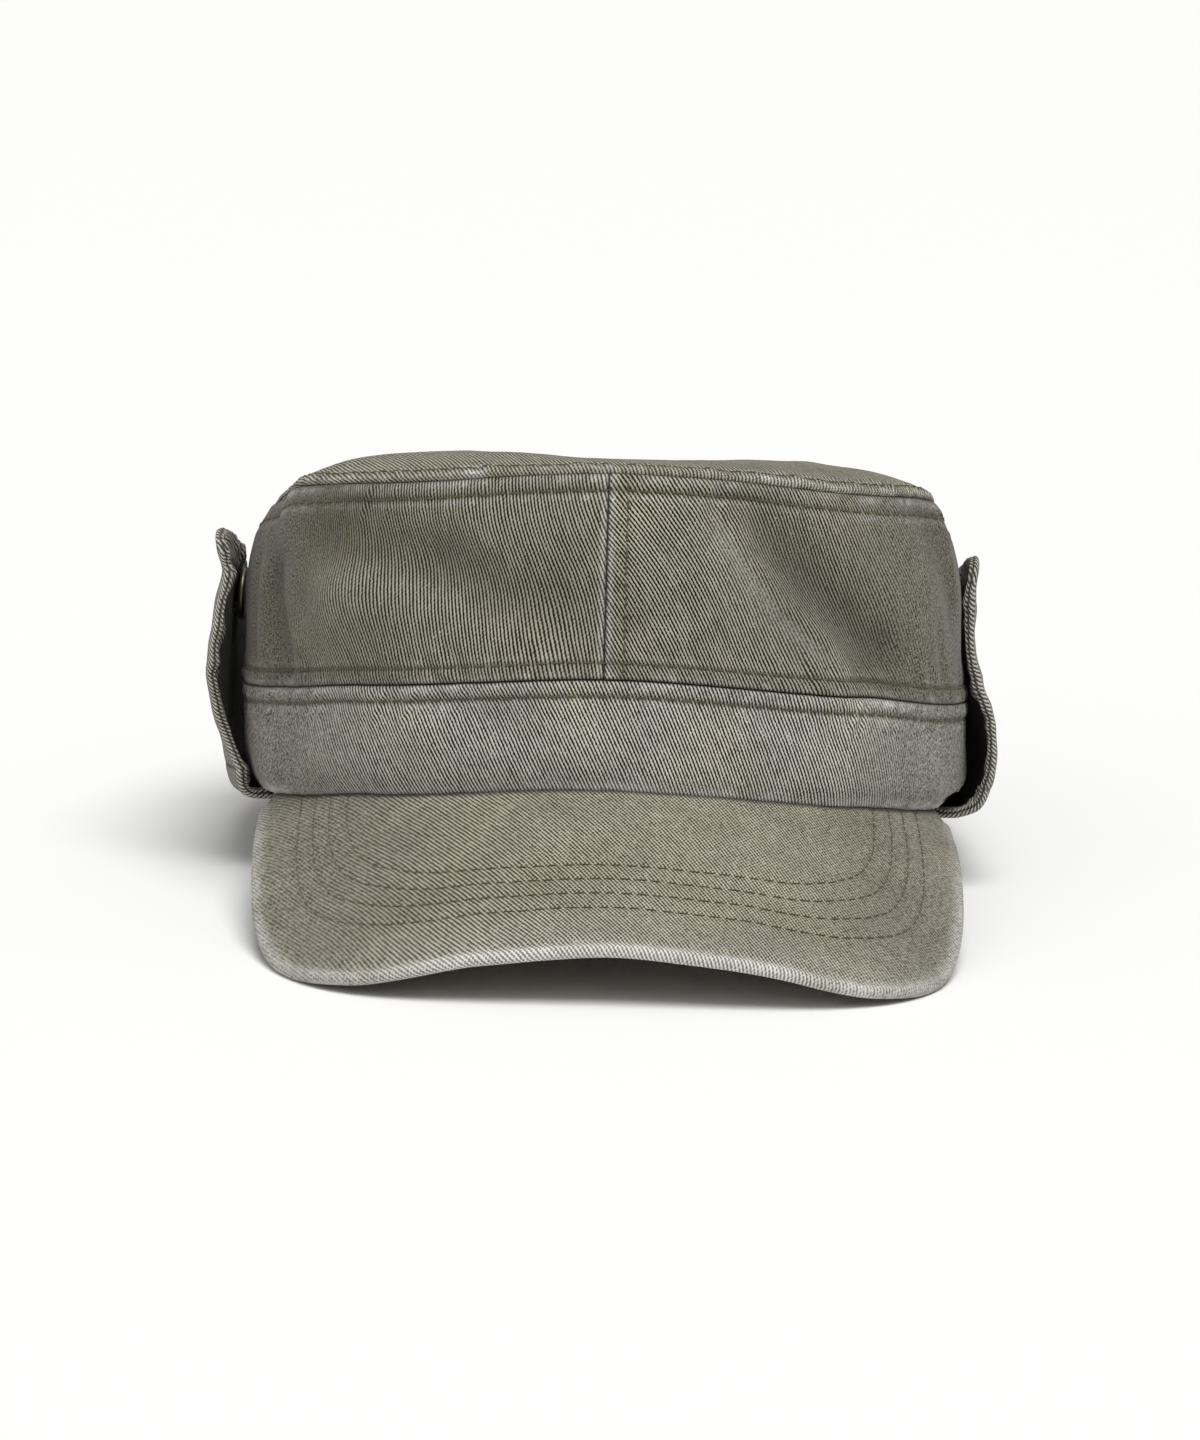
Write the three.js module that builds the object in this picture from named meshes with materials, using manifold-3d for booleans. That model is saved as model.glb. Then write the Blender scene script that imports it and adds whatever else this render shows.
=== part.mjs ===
// An earflap cap in washed cotton twill, standing on its peak and the back of its rim.
// Millimetres, +Z up, the front of the cap towards -Y; left and right are as seen from the front.
// The origin is on the surface the cap stands on, under the middle of the whole cap.
import * as THREE from 'three';
import { mergeVertices } from 'three/addons/utils/BufferGeometryUtils.js';
import Module from 'manifold-3d';

const wasm = await Module();
wasm.setup();

const degree = Math.PI / 180;

// Driving dimensions
const ringCentreY = 29.5;      // centre of the head opening, behind the origin
const lean = 7.5 * degree;     // the walls lean back by this much
const squareness = 2.3;        // 2 is an ellipse; more is a squarer plan
const wallThickness = 2;       // two layers of twill
const topThickness = 1.6;
const bandHeight = 25.6;
const seamGap = 0.3;           // between neighbouring pieces
const arcPerDegree = 1.62;     // mean length of a degree round the crown

// Round the cap. deg: from the front. rim: height of the hem. left, right: hem to top seam, up the wall.
const stations = [
  { deg: 0, rim: 34.2, left: 71.5, right: 71.5 },
  { deg: 35, rim: 28.3, left: 71, right: 71.4 },
  { deg: 52, rim: 23.2, left: 71.8, right: 72.6 },
  { deg: 66, rim: 19.6, left: 68.8, right: 69.6 },
  { deg: 90, rim: 14.6, left: 64.2, right: 64.6 },
  { deg: 130, rim: 4.6, left: 60.5, right: 60.5 },
  { deg: 155, rim: -0.5, left: 58.4, right: 58.4 },
  { deg: 180, rim: -0.5, left: 58, right: 58 },
];

// Up the wall. level: 0 hem, 1 band seam, 2 top seam. The others: reach from the ring's centre.
const profile = [
  { level: 0, half: 82.6, front: 97, back: 96.5 },
  { level: 0.2, half: 85.6, front: 98.6, back: 98.2 },
  { level: 0.5, half: 86.9, front: 99.4, back: 99.2 },
  { level: 1, half: 87.2, front: 99.8, back: 99.4 },
  { level: 1.5, half: 87.6, front: 100.2, back: 98.8 },
  { level: 1.85, half: 86.4, front: 98.9, back: 96.6 },
  { level: 2, half: 83.6, front: 96.8, back: 93.8 },
];

// Dents (depth below 0) and swells of the crown, each along a line up the wall.
const folds = [
  { name: 'right crease', fromDeg: 17, fromLevel: 1.85, toDeg: 38, toLevel: 1.2, width: 10, depth: -3.6 },
  { name: 'right ridge', fromDeg: 12, fromLevel: 1.75, toDeg: 31, toLevel: 1.15, width: 6, depth: 1.4 },
  { name: 'left drape', fromDeg: -40, fromLevel: 1.8, toDeg: -9, toLevel: 1.35, width: 10, depth: -2.2 },
  { name: 'left swell', fromDeg: -38, fromLevel: 1.35, toDeg: -16, toLevel: 1.2, width: 12, depth: 1.6 },
  { name: 'left upright', fromDeg: -54, fromLevel: 1.6, toDeg: -53, toLevel: 1.1, width: 5, depth: -1.5 },
  { name: 'right shoulder', fromDeg: 50, fromLevel: 1.9, toDeg: 60, toLevel: 1.5, width: 7, depth: -2 },
  { name: 'left snap', fromDeg: -93, fromLevel: 1.56, toDeg: -93, toLevel: 1.5, width: 15, depth: -3 },
  { name: 'right side', fromDeg: 78, fromLevel: 1.56, toDeg: 112, toLevel: 1.5, width: 19, depth: -3.2 },
  { name: 'right snap', fromDeg: 93, fromLevel: 1.56, toDeg: 93, toLevel: 1.5, width: 17, depth: -2.2 },
];
const frontDetail = 1.25;      // over 1, the crown's facets are finer towards the front

// Top panel: a soft dome over the top seam, dipped along its middle
const domeHeight = 10.6;
const domeFullness = 3.4;      // more is flatter in the middle and steeper at the seam
const dipDepth = 3;
const dipWidth = 26;
const dipFullness = 6;
// x, y: middle of the swell. width: how far it spreads. height: over the plain dome.
const topSwells = [
  { name: 'left shoulder', x: -60, y: 6, width: 20, height: 0.8 },
  { name: 'right shoulder', x: 66, y: 6, width: 16, height: 1.6 },
];

// Peak: a stiff board, curved down at its sides
const peakThickness = 3;
const peakEndDeg = 63;         // where its root leaves the hem, each side of the front
const peakHalf = 80.7;
const peakStart = 46;          // reach at which the side edges begin
const peakLength = 116;        // from there to the middle of the front edge
const peakSquareness = 4.3;
// turn: degrees round the peak's outline from the middle of its front edge. height: of its upper face.
const peakEdge = [
  { turn: 0, height: 13.5 },
  { turn: 14, height: 10.8 },
  { turn: 28, height: 4.2 },
  { turn: 38, height: 2.2 },
  { turn: 56, height: 11.2 },
  { turn: 75, height: 17.3 },
  { turn: 90, height: 17.9 },
];

// Earflaps: sewn under the hem, turned up and snapped to the crown
const flapThickness = 2.6;
const flapFrontDeg = 69;
const flapRearDeg = 122;
const footInset = 1.8;         // how far the sewn edge reaches in under the hem
const footLength = 2;
const bendTop = 6;             // height at which the turned-up fold is upright
const footShare = 0.07;        // share of the rows in the foot, and up to the end of the bend
const bendShare = 0.36;
// along: 0 front edge, 1 rear edge. left, right: height of the flap's top edge over the hem.
const flapOutline = [
  { along: 0, left: 58, right: 54 },
  { along: 0.03, left: 62.4, right: 59.4 },
  { along: 0.1, left: 64.4, right: 61.6 },
  { along: 0.4, left: 60, right: 59 },
  { along: 0.75, left: 52.5, right: 52.5 },
  { along: 0.93, left: 44, right: 44 },
  { along: 1, left: 34, right: 34 },
];
// Gap from the wall to the flap: at its front edge on each side, and where it lies close behind that.
const flapGap = [
  { up: 0, left: 1.4, right: 3.8, leftClose: 2.6, rightClose: 3.4 },
  { up: 10, left: 2.8, right: 6, leftClose: 3.2, rightClose: 3 },
  { up: 20, left: 6.6, right: 5.6, leftClose: 3.4, rightClose: 0.8 },
  { up: 30, left: 8.2, right: 2.6, leftClose: 3, rightClose: -0.8 },
  { up: 42, left: 7, right: 1, leftClose: 1.6, rightClose: -1.8 },
  { up: 52, left: 5.6, right: 0.8, leftClose: 0.8, rightClose: -1.8 },
  { up: 58, left: 7, right: 1.4, leftClose: 0.7, rightClose: -1.2 },
  { up: 66, left: 9.6, right: 2.2, leftClose: 0.7, rightClose: -0.4 },
];
const flareLength = 0.34;      // share of the flap over which the front edge's gap fades
const rearFlare = 2;
const rearFlareStart = 0.6;    // share of the flap from which its rear stands off

// Press snaps: on the crown a stud riveted to a washer, in the flap a socket
const snapDeg = 93;
const snapUp = 46;
const snapRadius = 6.25;
const postRadius = 2;
const holeRadius = 2.3;
const studRadius = 5;
const washerRadius = 4.6;
const washerThickness = 0.9;
const clothGap = 0.5;          // between a snap's metal and the cloth it is riveted to
const flangeTop = 1.3;         // over the wall
const studReach = 2.4;
const recessRadius = 2.7;
const socketThickness = 1.6;
const socketLip = 0.3;         // the flap's cloth stands this far behind the socket's flange
const socketPost = 1;          // how far the socket's post is sunk into the flap
const snapSegments = 20;
const holeSegments = 12;

const { lerp, smoothstep, clamp } = THREE.MathUtils;

// Value of a table's column at x, through its rows by a cubic that doesn't overshoot them.
function along(rows, key, column, x, flatEnds = false) {
  const slope = (k) => (rows[k + 1][column] - rows[k][column]) / (rows[k + 1][key] - rows[k][key]);
  const tangent = (k) => {
    if (k === 0 || k === rows.length - 1) return flatEnds ? 0 : slope(Math.min(k, rows.length - 2));
    const [before, after] = [slope(k - 1), slope(k)];
    return before * after > 0 ? (2 * before * after) / (before + after) : 0;
  };
  const at = clamp(x, rows[0][key], rows[rows.length - 1][key]);
  let k = 0;
  while (k < rows.length - 2 && at > rows[k + 1][key]) k += 1;
  const span = rows[k + 1][key] - rows[k][key];
  const t = (at - rows[k][key]) / span;
  return (
    rows[k][column] * (2 * t ** 3 - 3 * t ** 2 + 1) +
    rows[k + 1][column] * (3 * t ** 2 - 2 * t ** 3) +
    tangent(k) * span * (t ** 3 - 2 * t ** 2 + t) +
    tangent(k + 1) * span * (t ** 3 - t ** 2)
  );
}

// A bell curve, 1 in its middle.
const bell = (distance, width) => Math.exp(-((distance / width) ** 2));

// Distance of a superellipse from its centre, in the direction (across, ahead).
function superellipse(across, ahead, half, length, power) {
  return (Math.abs(across / half) ** power + Math.abs(ahead / length) ** power) ** (-1 / power);
}

// Height of the top seam over the hem, up the wall.
function riseAt(deg) {
  return along(stations, 'deg', deg > 0 ? 'right' : 'left', Math.abs(deg), true);
}

// Height of a level over the hem, up the wall, and the level of a height.
function climb(deg, level) {
  return level <= 1 ? level * bandHeight : lerp(bandHeight, riseAt(deg), level - 1);
}

function levelAt(deg, up) {
  return up <= bandHeight ? up / bandHeight : 1 + (up - bandHeight) / (riseAt(deg) - bandHeight);
}

// How far the crown's dents and swells move the wall outwards.
function foldDepth(deg, level) {
  const unrolled = (atDeg, atLevel) => new THREE.Vector3(atDeg * arcPerDegree, climb(0, atLevel), 0);
  const spot = unrolled(deg, level);
  return folds.reduce((sum, fold) => {
    const line = new THREE.Line3(unrolled(fold.fromDeg, fold.fromLevel), unrolled(fold.toDeg, fold.toLevel));
    const nearest = line.closestPointToPoint(spot, true, new THREE.Vector3());
    return sum + fold.depth * bell(spot.distanceTo(nearest), fold.width);
  }, 0);
}

// Distance of the wall from the ring's centre, in plan, before its folds.
function plainReach(deg, level) {
  const [across, ahead] = [Math.sin(deg * degree), Math.cos(deg * degree)];
  const half = along(profile, 'level', 'half', level);
  const length = along(profile, 'level', ahead > 0 ? 'front' : 'back', level);
  return superellipse(across, ahead, half, length, squareness);
}

// A point of the cap's outside: out is added along the radius, up along the leaning wall.
function onWall(deg, level, out = 0, up = climb(deg, level)) {
  const reach = plainReach(deg, level) + foldDepth(deg, level) + out;
  const rim = along(stations, 'deg', 'rim', Math.abs(deg), true);
  return new THREE.Vector3(
    reach * Math.sin(deg * degree),
    ringCentreY - reach * Math.cos(deg * degree) + up * Math.sin(lean),
    rim + up * Math.cos(lean),
  );
}

// Outward normal of surface(across, up), whose two arguments run from 0 to 1.
function normalOf(surface, across, up) {
  const step = 1e-3;
  const [a0, a1] = [Math.max(across - step, 0), Math.min(across + step, 1)];
  const [u0, u1] = [Math.max(up - step, 0), Math.min(up + step, 1)];
  const middle = clamp(up, step, 1);
  const sideways = surface(a1, middle).sub(surface(a0, middle));
  const upwards = surface(across, u1).sub(surface(across, u0));
  return sideways.cross(upwards).normalize();
}

// A closed shell round surface(across, up), from below it to above it along its normal.
// A ring closes on itself across; a disc is a ring whose first row is one point.
function shell(surface, columns, rows, { below = 0, above = 0, ring = false, disc = false }) {
  const stride = ring ? columns : columns + 1;
  const points = [];
  const faces = [];
  for (const offset of [above, -below]) {
    for (let j = 0; j <= rows; j += 1) {
      for (let i = 0; i < stride; i += 1) {
        const [across, up] = [i / columns, j / rows];
        const normal = normalOf(surface, across, up);
        points.push(...surface(across, up).addScaledVector(normal, offset));
      }
    }
  }
  const layer = stride * (rows + 1);
  const at = (side, i, j) => side * layer + (disc && j === 0 ? 0 : j * stride + (i % stride));
  const triangle = (a, b, c) => {
    if (a !== b && b !== c && a !== c) faces.push(a, b, c);
  };
  const quad = (a, b, c, d) => {
    triangle(a, b, d);
    triangle(b, c, d);
  };
  for (let j = 0; j < rows; j += 1) {
    for (let i = 0; i < columns; i += 1) {
      quad(at(0, i, j), at(0, i + 1, j), at(0, i + 1, j + 1), at(0, i, j + 1));
      quad(at(1, i, j), at(1, i, j + 1), at(1, i + 1, j + 1), at(1, i + 1, j));
    }
  }
  for (let i = 0; i < columns; i += 1) {
    if (!disc) quad(at(0, i + 1, 0), at(0, i, 0), at(1, i, 0), at(1, i + 1, 0));
    quad(at(0, i, rows), at(0, i + 1, rows), at(1, i + 1, rows), at(1, i, rows));
  }
  for (let j = 0; j < rows && !ring; j += 1) {
    quad(at(0, 0, j), at(0, 0, j + 1), at(1, 0, j + 1), at(1, 0, j));
    quad(at(0, columns, j + 1), at(0, columns, j), at(1, columns, j), at(1, columns, j + 1));
  }
  const geometry = new THREE.BufferGeometry();
  geometry.setAttribute('position', new THREE.Float32BufferAttribute(points, 3));
  geometry.setIndex(faces);
  const used = mergeVertices(geometry.toNonIndexed(), 1e-4);
  used.computeVertexNormals();
  return used;
}

function bandGeometry() {
  const surface = (across, up) => onWall(lerp(-180, 180, across), up);
  return shell(surface, 80, 4, { below: wallThickness, ring: true });
}

function crownGeometry(side) {
  const seamDeg = seamGap / 2 / arcPerDegree;
  const surface = (across, up) => {
    const fromFront = side > 0 ? across : 1 - across;
    const deg = side * lerp(seamDeg, 180 - seamDeg, fromFront ** frontDetail);
    const bottom = levelAt(deg, bandHeight + seamGap);
    return onWall(deg, lerp(bottom, 2, up));
  };
  return shell(surface, 42, 9, { below: wallThickness });
}

// Height of the seam's plane, tipped from the front seam down to the back one.
// The seam's plane is tipped from the front down to the back; warp is how far the seam stands off it.
function topPoint(deg, share) {
  const [front, back] = [onWall(0, 2), onWall(180, 2)];
  const centre = front.clone().lerp(back, 0.5);
  const fall = (back.z - front.z) / (back.y - front.y);
  const edge = onWall(deg, 2);
  const warp = edge.z - (centre.z + fall * (edge.y - centre.y));
  const x = share * edge.x;
  const y = lerp(centre.y, edge.y, share);
  const dip = dipDepth * bell(x, dipWidth) * (1 - share ** dipFullness);
  const dome = domeHeight * (1 - share ** domeFullness) - dip;
  const swell = topSwells.reduce(
    (sum, { x: atX, y: atY, width, height }) => sum + height * bell(Math.hypot(x - atX, y - atY), width),
    0,
  );
  const lift = seamGap + topThickness;
  return new THREE.Vector3(x, y, centre.z + fall * (y - centre.y) + warp * share ** 2 + dome + swell + lift);
}

function topGeometry() {
  const surface = (across, outwards) => topPoint(lerp(180, -180, across), outwards);
  return shell(surface, 64, 7, { below: topThickness, ring: true, disc: true });
}

// The peak's upper face, from its outline in to its root under the hem.
function peakPoint(turn, inwards) {
  const [across, ahead] = [Math.sin(turn * degree), Math.cos(turn * degree)];
  const reach = superellipse(across, ahead, peakHalf, peakLength, peakSquareness);
  const edge = new THREE.Vector3(
    reach * across,
    ringCentreY - peakStart - reach * ahead,
    along(peakEdge, 'turn', 'height', Math.abs(turn), true),
  );
  const root = onWall((turn / 90) * peakEndDeg, 0, -wallThickness / 2);
  root.z -= seamGap;
  return edge.lerp(root, inwards);
}

function peakGeometry() {
  const surface = (across, inwards) => peakPoint(lerp(-90, 90, across), inwards);
  return shell(surface, 40, 7, { below: peakThickness });
}

// The flap's inner face: under the hem, round the bend, then up beside the wall.
function flapPoint(side, share, rise) {
  const column = side > 0 ? 'right' : 'left';
  const deg = side * lerp(flapFrontDeg, flapRearDeg, share);
  const height = along(flapOutline, 'along', column, share);
  const close = smoothstep(share, 0, flareLength);
  const rear = rearFlare * smoothstep(share, rearFlareStart, 1);
  const outAt = (up) => {
    const gap = lerp(along(flapGap, 'up', column, up), along(flapGap, 'up', `${column}Close`, up), close);
    return plainReach(deg, levelAt(deg, up)) - plainReach(deg, 0) + gap + rear;
  };
  if (rise < footShare) return onWall(deg, 0, lerp(-footInset, footLength, rise / footShare), -seamGap);
  if (rise < bendShare) {
    const t = (rise - footShare) / (bendShare - footShare);
    const out = lerp(footLength, outAt(bendTop), 1 - (1 - t) ** 2);
    return onWall(deg, 0, out, lerp(-seamGap, bendTop, t ** 2));
  }
  const up = lerp(bendTop, height, (rise - bendShare) / (1 - bendShare));
  return onWall(deg, 0, outAt(up), up);
}

function flapGeometry(side) {
  const surface = (across, up) => flapPoint(side, side > 0 ? across : 1 - across, up);
  return shell(surface, 16, 14, { above: flapThickness });
}

// Where a snap sits: its centre on the wall and the axis it is pressed along.
function snapSeat(side) {
  const [patchDeg, patchHeight] = [8, 12];
  const surface = (across, up) => {
    const deg = side * snapDeg + (across - 0.5) * patchDeg;
    return onWall(deg, levelAt(deg, snapUp + (up - 0.5) * patchHeight));
  };
  return { centre: surface(0.5, 0.5), axis: normalOf(surface, 0.5, 0.5) };
}

// A turned piece on the snap's axis; its profile is [radius, distance over the wall].
function turned(side, profilePoints, segments = snapSegments) {
  const { centre, axis } = snapSeat(side);
  const points = profilePoints.map(([radius, over]) => new THREE.Vector2(radius, over));
  const geometry = new THREE.LatheGeometry(points, segments);
  geometry.applyQuaternion(new THREE.Quaternion().setFromUnitVectors(new THREE.Vector3(0, 1, 0), axis));
  return geometry.translate(...centre);
}

function studGeometry(side) {
  const washer = -wallThickness - clothGap;
  return turned(side, [
    [0, washer - washerThickness],
    [washerRadius, washer - washerThickness],
    [washerRadius, washer],
    [postRadius, washer],
    [postRadius, clothGap],
    [studRadius, clothGap],
    [studRadius, flangeTop - 0.1],
    [holeRadius - 0.1, flangeTop],
    [holeRadius, studReach],
    [0, studReach],
  ]);
}

// The socket's mouth faces the stud; its post is closed in by the flap's outer layer.
function socketGeometry(side, inner) {
  const back = inner - socketLip;
  return turned(side, [
    [0, back - socketLip],
    [recessRadius, back - socketLip],
    [recessRadius, back - socketThickness],
    [snapRadius, back - socketThickness],
    [snapRadius, back],
    [postRadius, back],
    [postRadius, inner + socketPost],
    [0, inner + socketPost],
  ]);
}

// Least distance over the wall of the flap's inner face, near the snap's axis.
function flapOver(side) {
  const { centre, axis } = snapSeat(side);
  const share = (snapDeg - flapFrontDeg) / (flapRearDeg - flapFrontDeg);
  const overs = [0.8, 0.85, 0.9].map((rise) => flapPoint(side, share, rise).sub(centre).dot(axis));
  return Math.min(...overs);
}

function toSolid(geometry) {
  const bare = geometry.clone();
  bare.deleteAttribute('normal');
  bare.deleteAttribute('uv');
  const merged = mergeVertices(bare, 1e-4);
  return new wasm.Manifold(new wasm.Mesh({
    numProp: 3,
    vertProperties: merged.attributes.position.array,
    triVerts: new Uint32Array(merged.index.array),
  }));
}

function toGeometry(solid) {
  const mesh = solid.getMesh();
  const geometry = new THREE.BufferGeometry();
  geometry.setAttribute('position', new THREE.BufferAttribute(mesh.vertProperties, 3));
  geometry.setIndex(new THREE.BufferAttribute(mesh.triVerts, 1));
  geometry.computeVertexNormals();
  return geometry;
}

// The hole a snap's post is riveted through.
function withSnapHole(geometry, side, from, to) {
  const drill = turned(side, [[0, from], [holeRadius, from], [holeRadius, to], [0, to]], holeSegments);
  return toGeometry(toSolid(geometry).subtract(toSolid(drill)));
}

// Flat where the cloth or board meets the surface that the cap stands on.
function restedFlat(geometry) {
  const depth = 10;
  const ground = new THREE.BoxGeometry(400, 400, depth).translate(0, 0, -depth / 2);
  return toGeometry(toSolid(geometry).subtract(toSolid(ground)));
}

const twill = new THREE.MeshStandardMaterial({ color: 0x78725f, roughness: 0.92, metalness: 0 });
const peakTwill = new THREE.MeshStandardMaterial({ color: 0x857f6d, roughness: 0.92, metalness: 0 });
const agedBrass = new THREE.MeshStandardMaterial({ color: 0x8d7a60, roughness: 0.45, metalness: 0.9 });

const cap = new THREE.Group();

function add(name, geometry, material) {
  const mesh = new THREE.Mesh(geometry, material);
  mesh.name = name;
  cap.add(mesh);
}

add('band', restedFlat(bandGeometry()), twill);
add('top_panel', topGeometry(), twill);
add('peak', restedFlat(peakGeometry()), peakTwill);
for (const [label, side] of [['left', -1], ['right', 1]]) {
  const inner = flapOver(side);
  add(`crown_${label}`, withSnapHole(crownGeometry(side), side, -3 * wallThickness, wallThickness), twill);
  const blind = inner + socketPost + seamGap;
  add(`earflap_${label}`, withSnapHole(flapGeometry(side), side, inner - flapThickness, blind), twill);
  add(`snap_stud_${label}`, studGeometry(side), agedBrass);
  add(`snap_socket_${label}`, socketGeometry(side, inner), agedBrass);
}

export default cap;
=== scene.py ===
# An earflap cap in washed cotton twill, standing on its peak and the back of its rim.
# Lengths in the tables are millimetres, as on a pattern sheet; meshes are in metres.
import math

import bpy
import numpy as np
from mathutils import Matrix, Vector


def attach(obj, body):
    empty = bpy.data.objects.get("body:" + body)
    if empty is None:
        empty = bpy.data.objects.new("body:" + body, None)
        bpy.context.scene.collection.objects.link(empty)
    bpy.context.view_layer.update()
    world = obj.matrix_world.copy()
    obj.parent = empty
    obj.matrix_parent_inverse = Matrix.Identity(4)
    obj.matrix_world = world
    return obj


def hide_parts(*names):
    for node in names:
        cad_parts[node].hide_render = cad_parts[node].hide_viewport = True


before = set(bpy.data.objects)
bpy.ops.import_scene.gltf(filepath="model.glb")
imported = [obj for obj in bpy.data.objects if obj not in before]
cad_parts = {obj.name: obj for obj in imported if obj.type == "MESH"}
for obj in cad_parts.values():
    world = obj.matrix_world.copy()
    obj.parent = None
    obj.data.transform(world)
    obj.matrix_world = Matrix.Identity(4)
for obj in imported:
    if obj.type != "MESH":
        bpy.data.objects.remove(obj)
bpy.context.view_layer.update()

MM = 0.001


def table(columns, *rows):
    """A short table as a dictionary of columns."""
    return dict(zip(columns.split(), np.array(rows, float).T))


# Cut of the cap, the same as in the solids
RING_CENTRE_Y = 29.5
LEAN = math.radians(7.5)
SQUARENESS = 2.3
WALL = 2.0
TOP_THICKNESS = 1.6
BAND_HEIGHT = 25.6
SEAM_GAP = 0.3

# By degrees from the front: height of the cap's lower edge over the floor, and of its wall above that
STATIONS = table(
    "deg rim left right",
    (0, 34.2, 71.5, 71.5),
    (35, 28.3, 71, 71.4),
    (52, 23.2, 71.8, 72.6),
    (66, 19.6, 68.8, 69.6),
    (90, 14.6, 64.2, 64.6),
    (130, 4.6, 60.5, 60.5),
    (155, -0.5, 58.4, 58.4),
    (180, -0.5, 58, 58),
)
# The wall's half width and its reach to the front and the back, by level
PROFILE = table(
    "level half front back",
    (0, 82.6, 97, 96.5),
    (0.2, 85.6, 98.6, 98.2),
    (0.5, 86.9, 99.4, 99.2),
    (1, 87.2, 99.8, 99.4),
    (1.5, 87.6, 100.2, 98.8),
    (1.85, 86.4, 98.9, 96.6),
    (2, 83.6, 96.8, 93.8),
)
# Dents (below 0) and swells of the wall, the main ones and then the small ones. Each runs along a
# line: degrees from the front and level at its start, the same at its end, width and depth. Level is
# 0 at the hem, 1 at the band seam and 2 at the top seam.
FOLDS = (
    (17, 1.85, 38, 1.2, 10, -3.6),
    (12, 1.75, 31, 1.15, 6, 1.4),
    (-40, 1.8, -9, 1.35, 10, -2.2),
    (-38, 1.35, -16, 1.2, 12, 1.6),
    (-54, 1.6, -53, 1.1, 5, -1.5),
    (50, 1.9, 60, 1.5, 7, -2),
    (-93, 1.56, -93, 1.5, 15, -3),
    (78, 1.56, 112, 1.5, 19, -3.2),
    (93, 1.56, 93, 1.5, 17, -2.2),
    (64, 2, 102, 1.98, 10, -2.7),
    (-64, 2, -102, 1.98, 9, -1.6),
)
SMALL_FOLDS = (
    (20, 1.72, 37.5, 1.22, 5, -1.0),
    (-46, 1.74, -24, 1.62, 6.5, -1.5),
    (-24, 1.62, -9, 1.3, 6, -1.4),
    (-40, 1.45, -22, 1.36, 6, 0.8),
    (-58, 1.6, -56, 1.2, 3.5, -0.9),
    (-62, 1.6, -61, 1.2, 2.6, 0.7),
    (-66, 1.7, -66, 1.2, 3, -0.7),
    (8, 1.36, 2, 1.26, 4, -0.6),
    (12, 1.3, 6, 1.18, 3.5, 0.5),
    (-47, 1.5, -46, 1.12, 3.5, -0.5),
    (40, 1.3, 44, 1.1, 2.6, -0.6),
    (47, 1.35, 49, 1.1, 2.4, 0.4),
    (53, 1.4, 55, 1.12, 2.4, -0.6),
    (57, 1.92, 63, 1.55, 2.6, 0.8),
    (-62, 1.9, -58, 1.6, 5, -1.2),
    (-20, 0.8, -10, 0.55, 5, -0.7),
    (-33, 0.75, -24, 0.5, 4, 0.5),
    (18, 0.82, 30, 0.62, 5, -0.6),
    (-56, 0.7, -50, 0.3, 4, -0.6),
    (52, 0.75, 60, 0.35, 4, -0.7),
    (135, 1.8, 160, 1.3, 9, -1.6),
    (-165, 1.75, -140, 1.35, 9, -1.4),
    (150, 0.7, 170, 0.4, 6, -0.7),
)

# Sharp creases of the crown's right and left panel, along points given by degrees and level
RIGHT_CREASE = (
    (12.6, 1.93), (14.8, 1.76), (17.4, 1.62), (21.7, 1.41), (26.5, 1.28), (33.0, 1.17),
)
LEFT_CREASE = (
    (-46.0, 1.08), (-50.3, 1.24), (-54.0, 1.42), (-55.4, 1.60), (-53.5, 1.72),
)

# The headband is tucked in below this line, at the foot of the right earflap.
TUCK = ((90.0, 0.34), (77.0, 0.26), (68.0, 0.17), (62.0, 0.13))

DOME_HEIGHT = 10.6
DOME_FULLNESS = 3.4
DIP_DEPTH = 3
DIP_WIDTH = 26
DIP_FULLNESS = 6
# Where the top is pushed up: x, y, width and height
TOP_SWELLS = (
    (-60, 6, 20, 0.8),
    (66, 6, 16, 1.6),
)

PEAK_THICKNESS = 3
PEAK_END_DEG = 63
PEAK_HALF = 80.7
PEAK_START = 46
PEAK_LENGTH = 116
PEAK_SQUARENESS = 4.3
PEAK_TUCK = 0.9                # how far its cover runs up behind the band's lower edge
# Height of its edge over the floor, by degrees round it
PEAK_EDGE = table(
    "turn height",
    (0, 13.5),
    (14, 10.8),
    (28, 4.2),
    (38, 2.2),
    (56, 11.2),
    (75, 17.3),
    (90, 17.9),
)

FLAP_FRONT_DEG = 69
FLAP_REAR_DEG = 122
FOOT_INSET = 1.8               # how far inside the wall's outer face the earflap's foot starts
FOOT_LENGTH = 2                # and how far outside it the foot turns up
FOOT_UP = 0.7                  # of the foot above the band's lower edge
FOOT_SHARE = 0.07              # of the way up the flap at which its foot ends
BEND_TOP = 6                   # height at which its bend ends
BEND_SHARE = 0.36              # and the share of the way up
# Height of the earflaps' edges above the hem, along them from the front
FLAP_OUTLINE = table(
    "along left right",
    (0, 58, 54),
    (0.03, 62.4, 59.4),
    (0.08, 63.8, 61.6),
    (0.3, 59.4, 59.6),
    (0.75, 51.5, 52.5),
    (0.93, 44, 44),
    (1, 34, 34),
)
# Gap from the wall to the earflaps: at their front edges, and where they lie close behind those
FLAP_GAP = table(
    "up left right left_close right_close",
    (0, 1.4, 3.8, 2.6, 3.4),
    (10, 2.8, 6, 3.2, 3),
    (20, 6.6, 5.6, 3.4, 0.8),
    (30, 8.0, 1.6, 3, -1.2),
    (42, 6.4, -1.0, 2.4, -2.0),
    (52, 4.5, -0.9, 1.8, -2.0),
    (58, 6.6, 0.3, 1.3, -1.4),
    (66, 9.4, 1.6, 1.0, -0.6),
)
FLARE_LENGTH = 0.34            # share of the flap over which its front edge's gap fades
REAR_FLARE = 2                 # how far its rear edge stands off
REAR_FLARE_START = 0.6

SNAP_DEG = 93
SNAP_UP = 46

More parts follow.
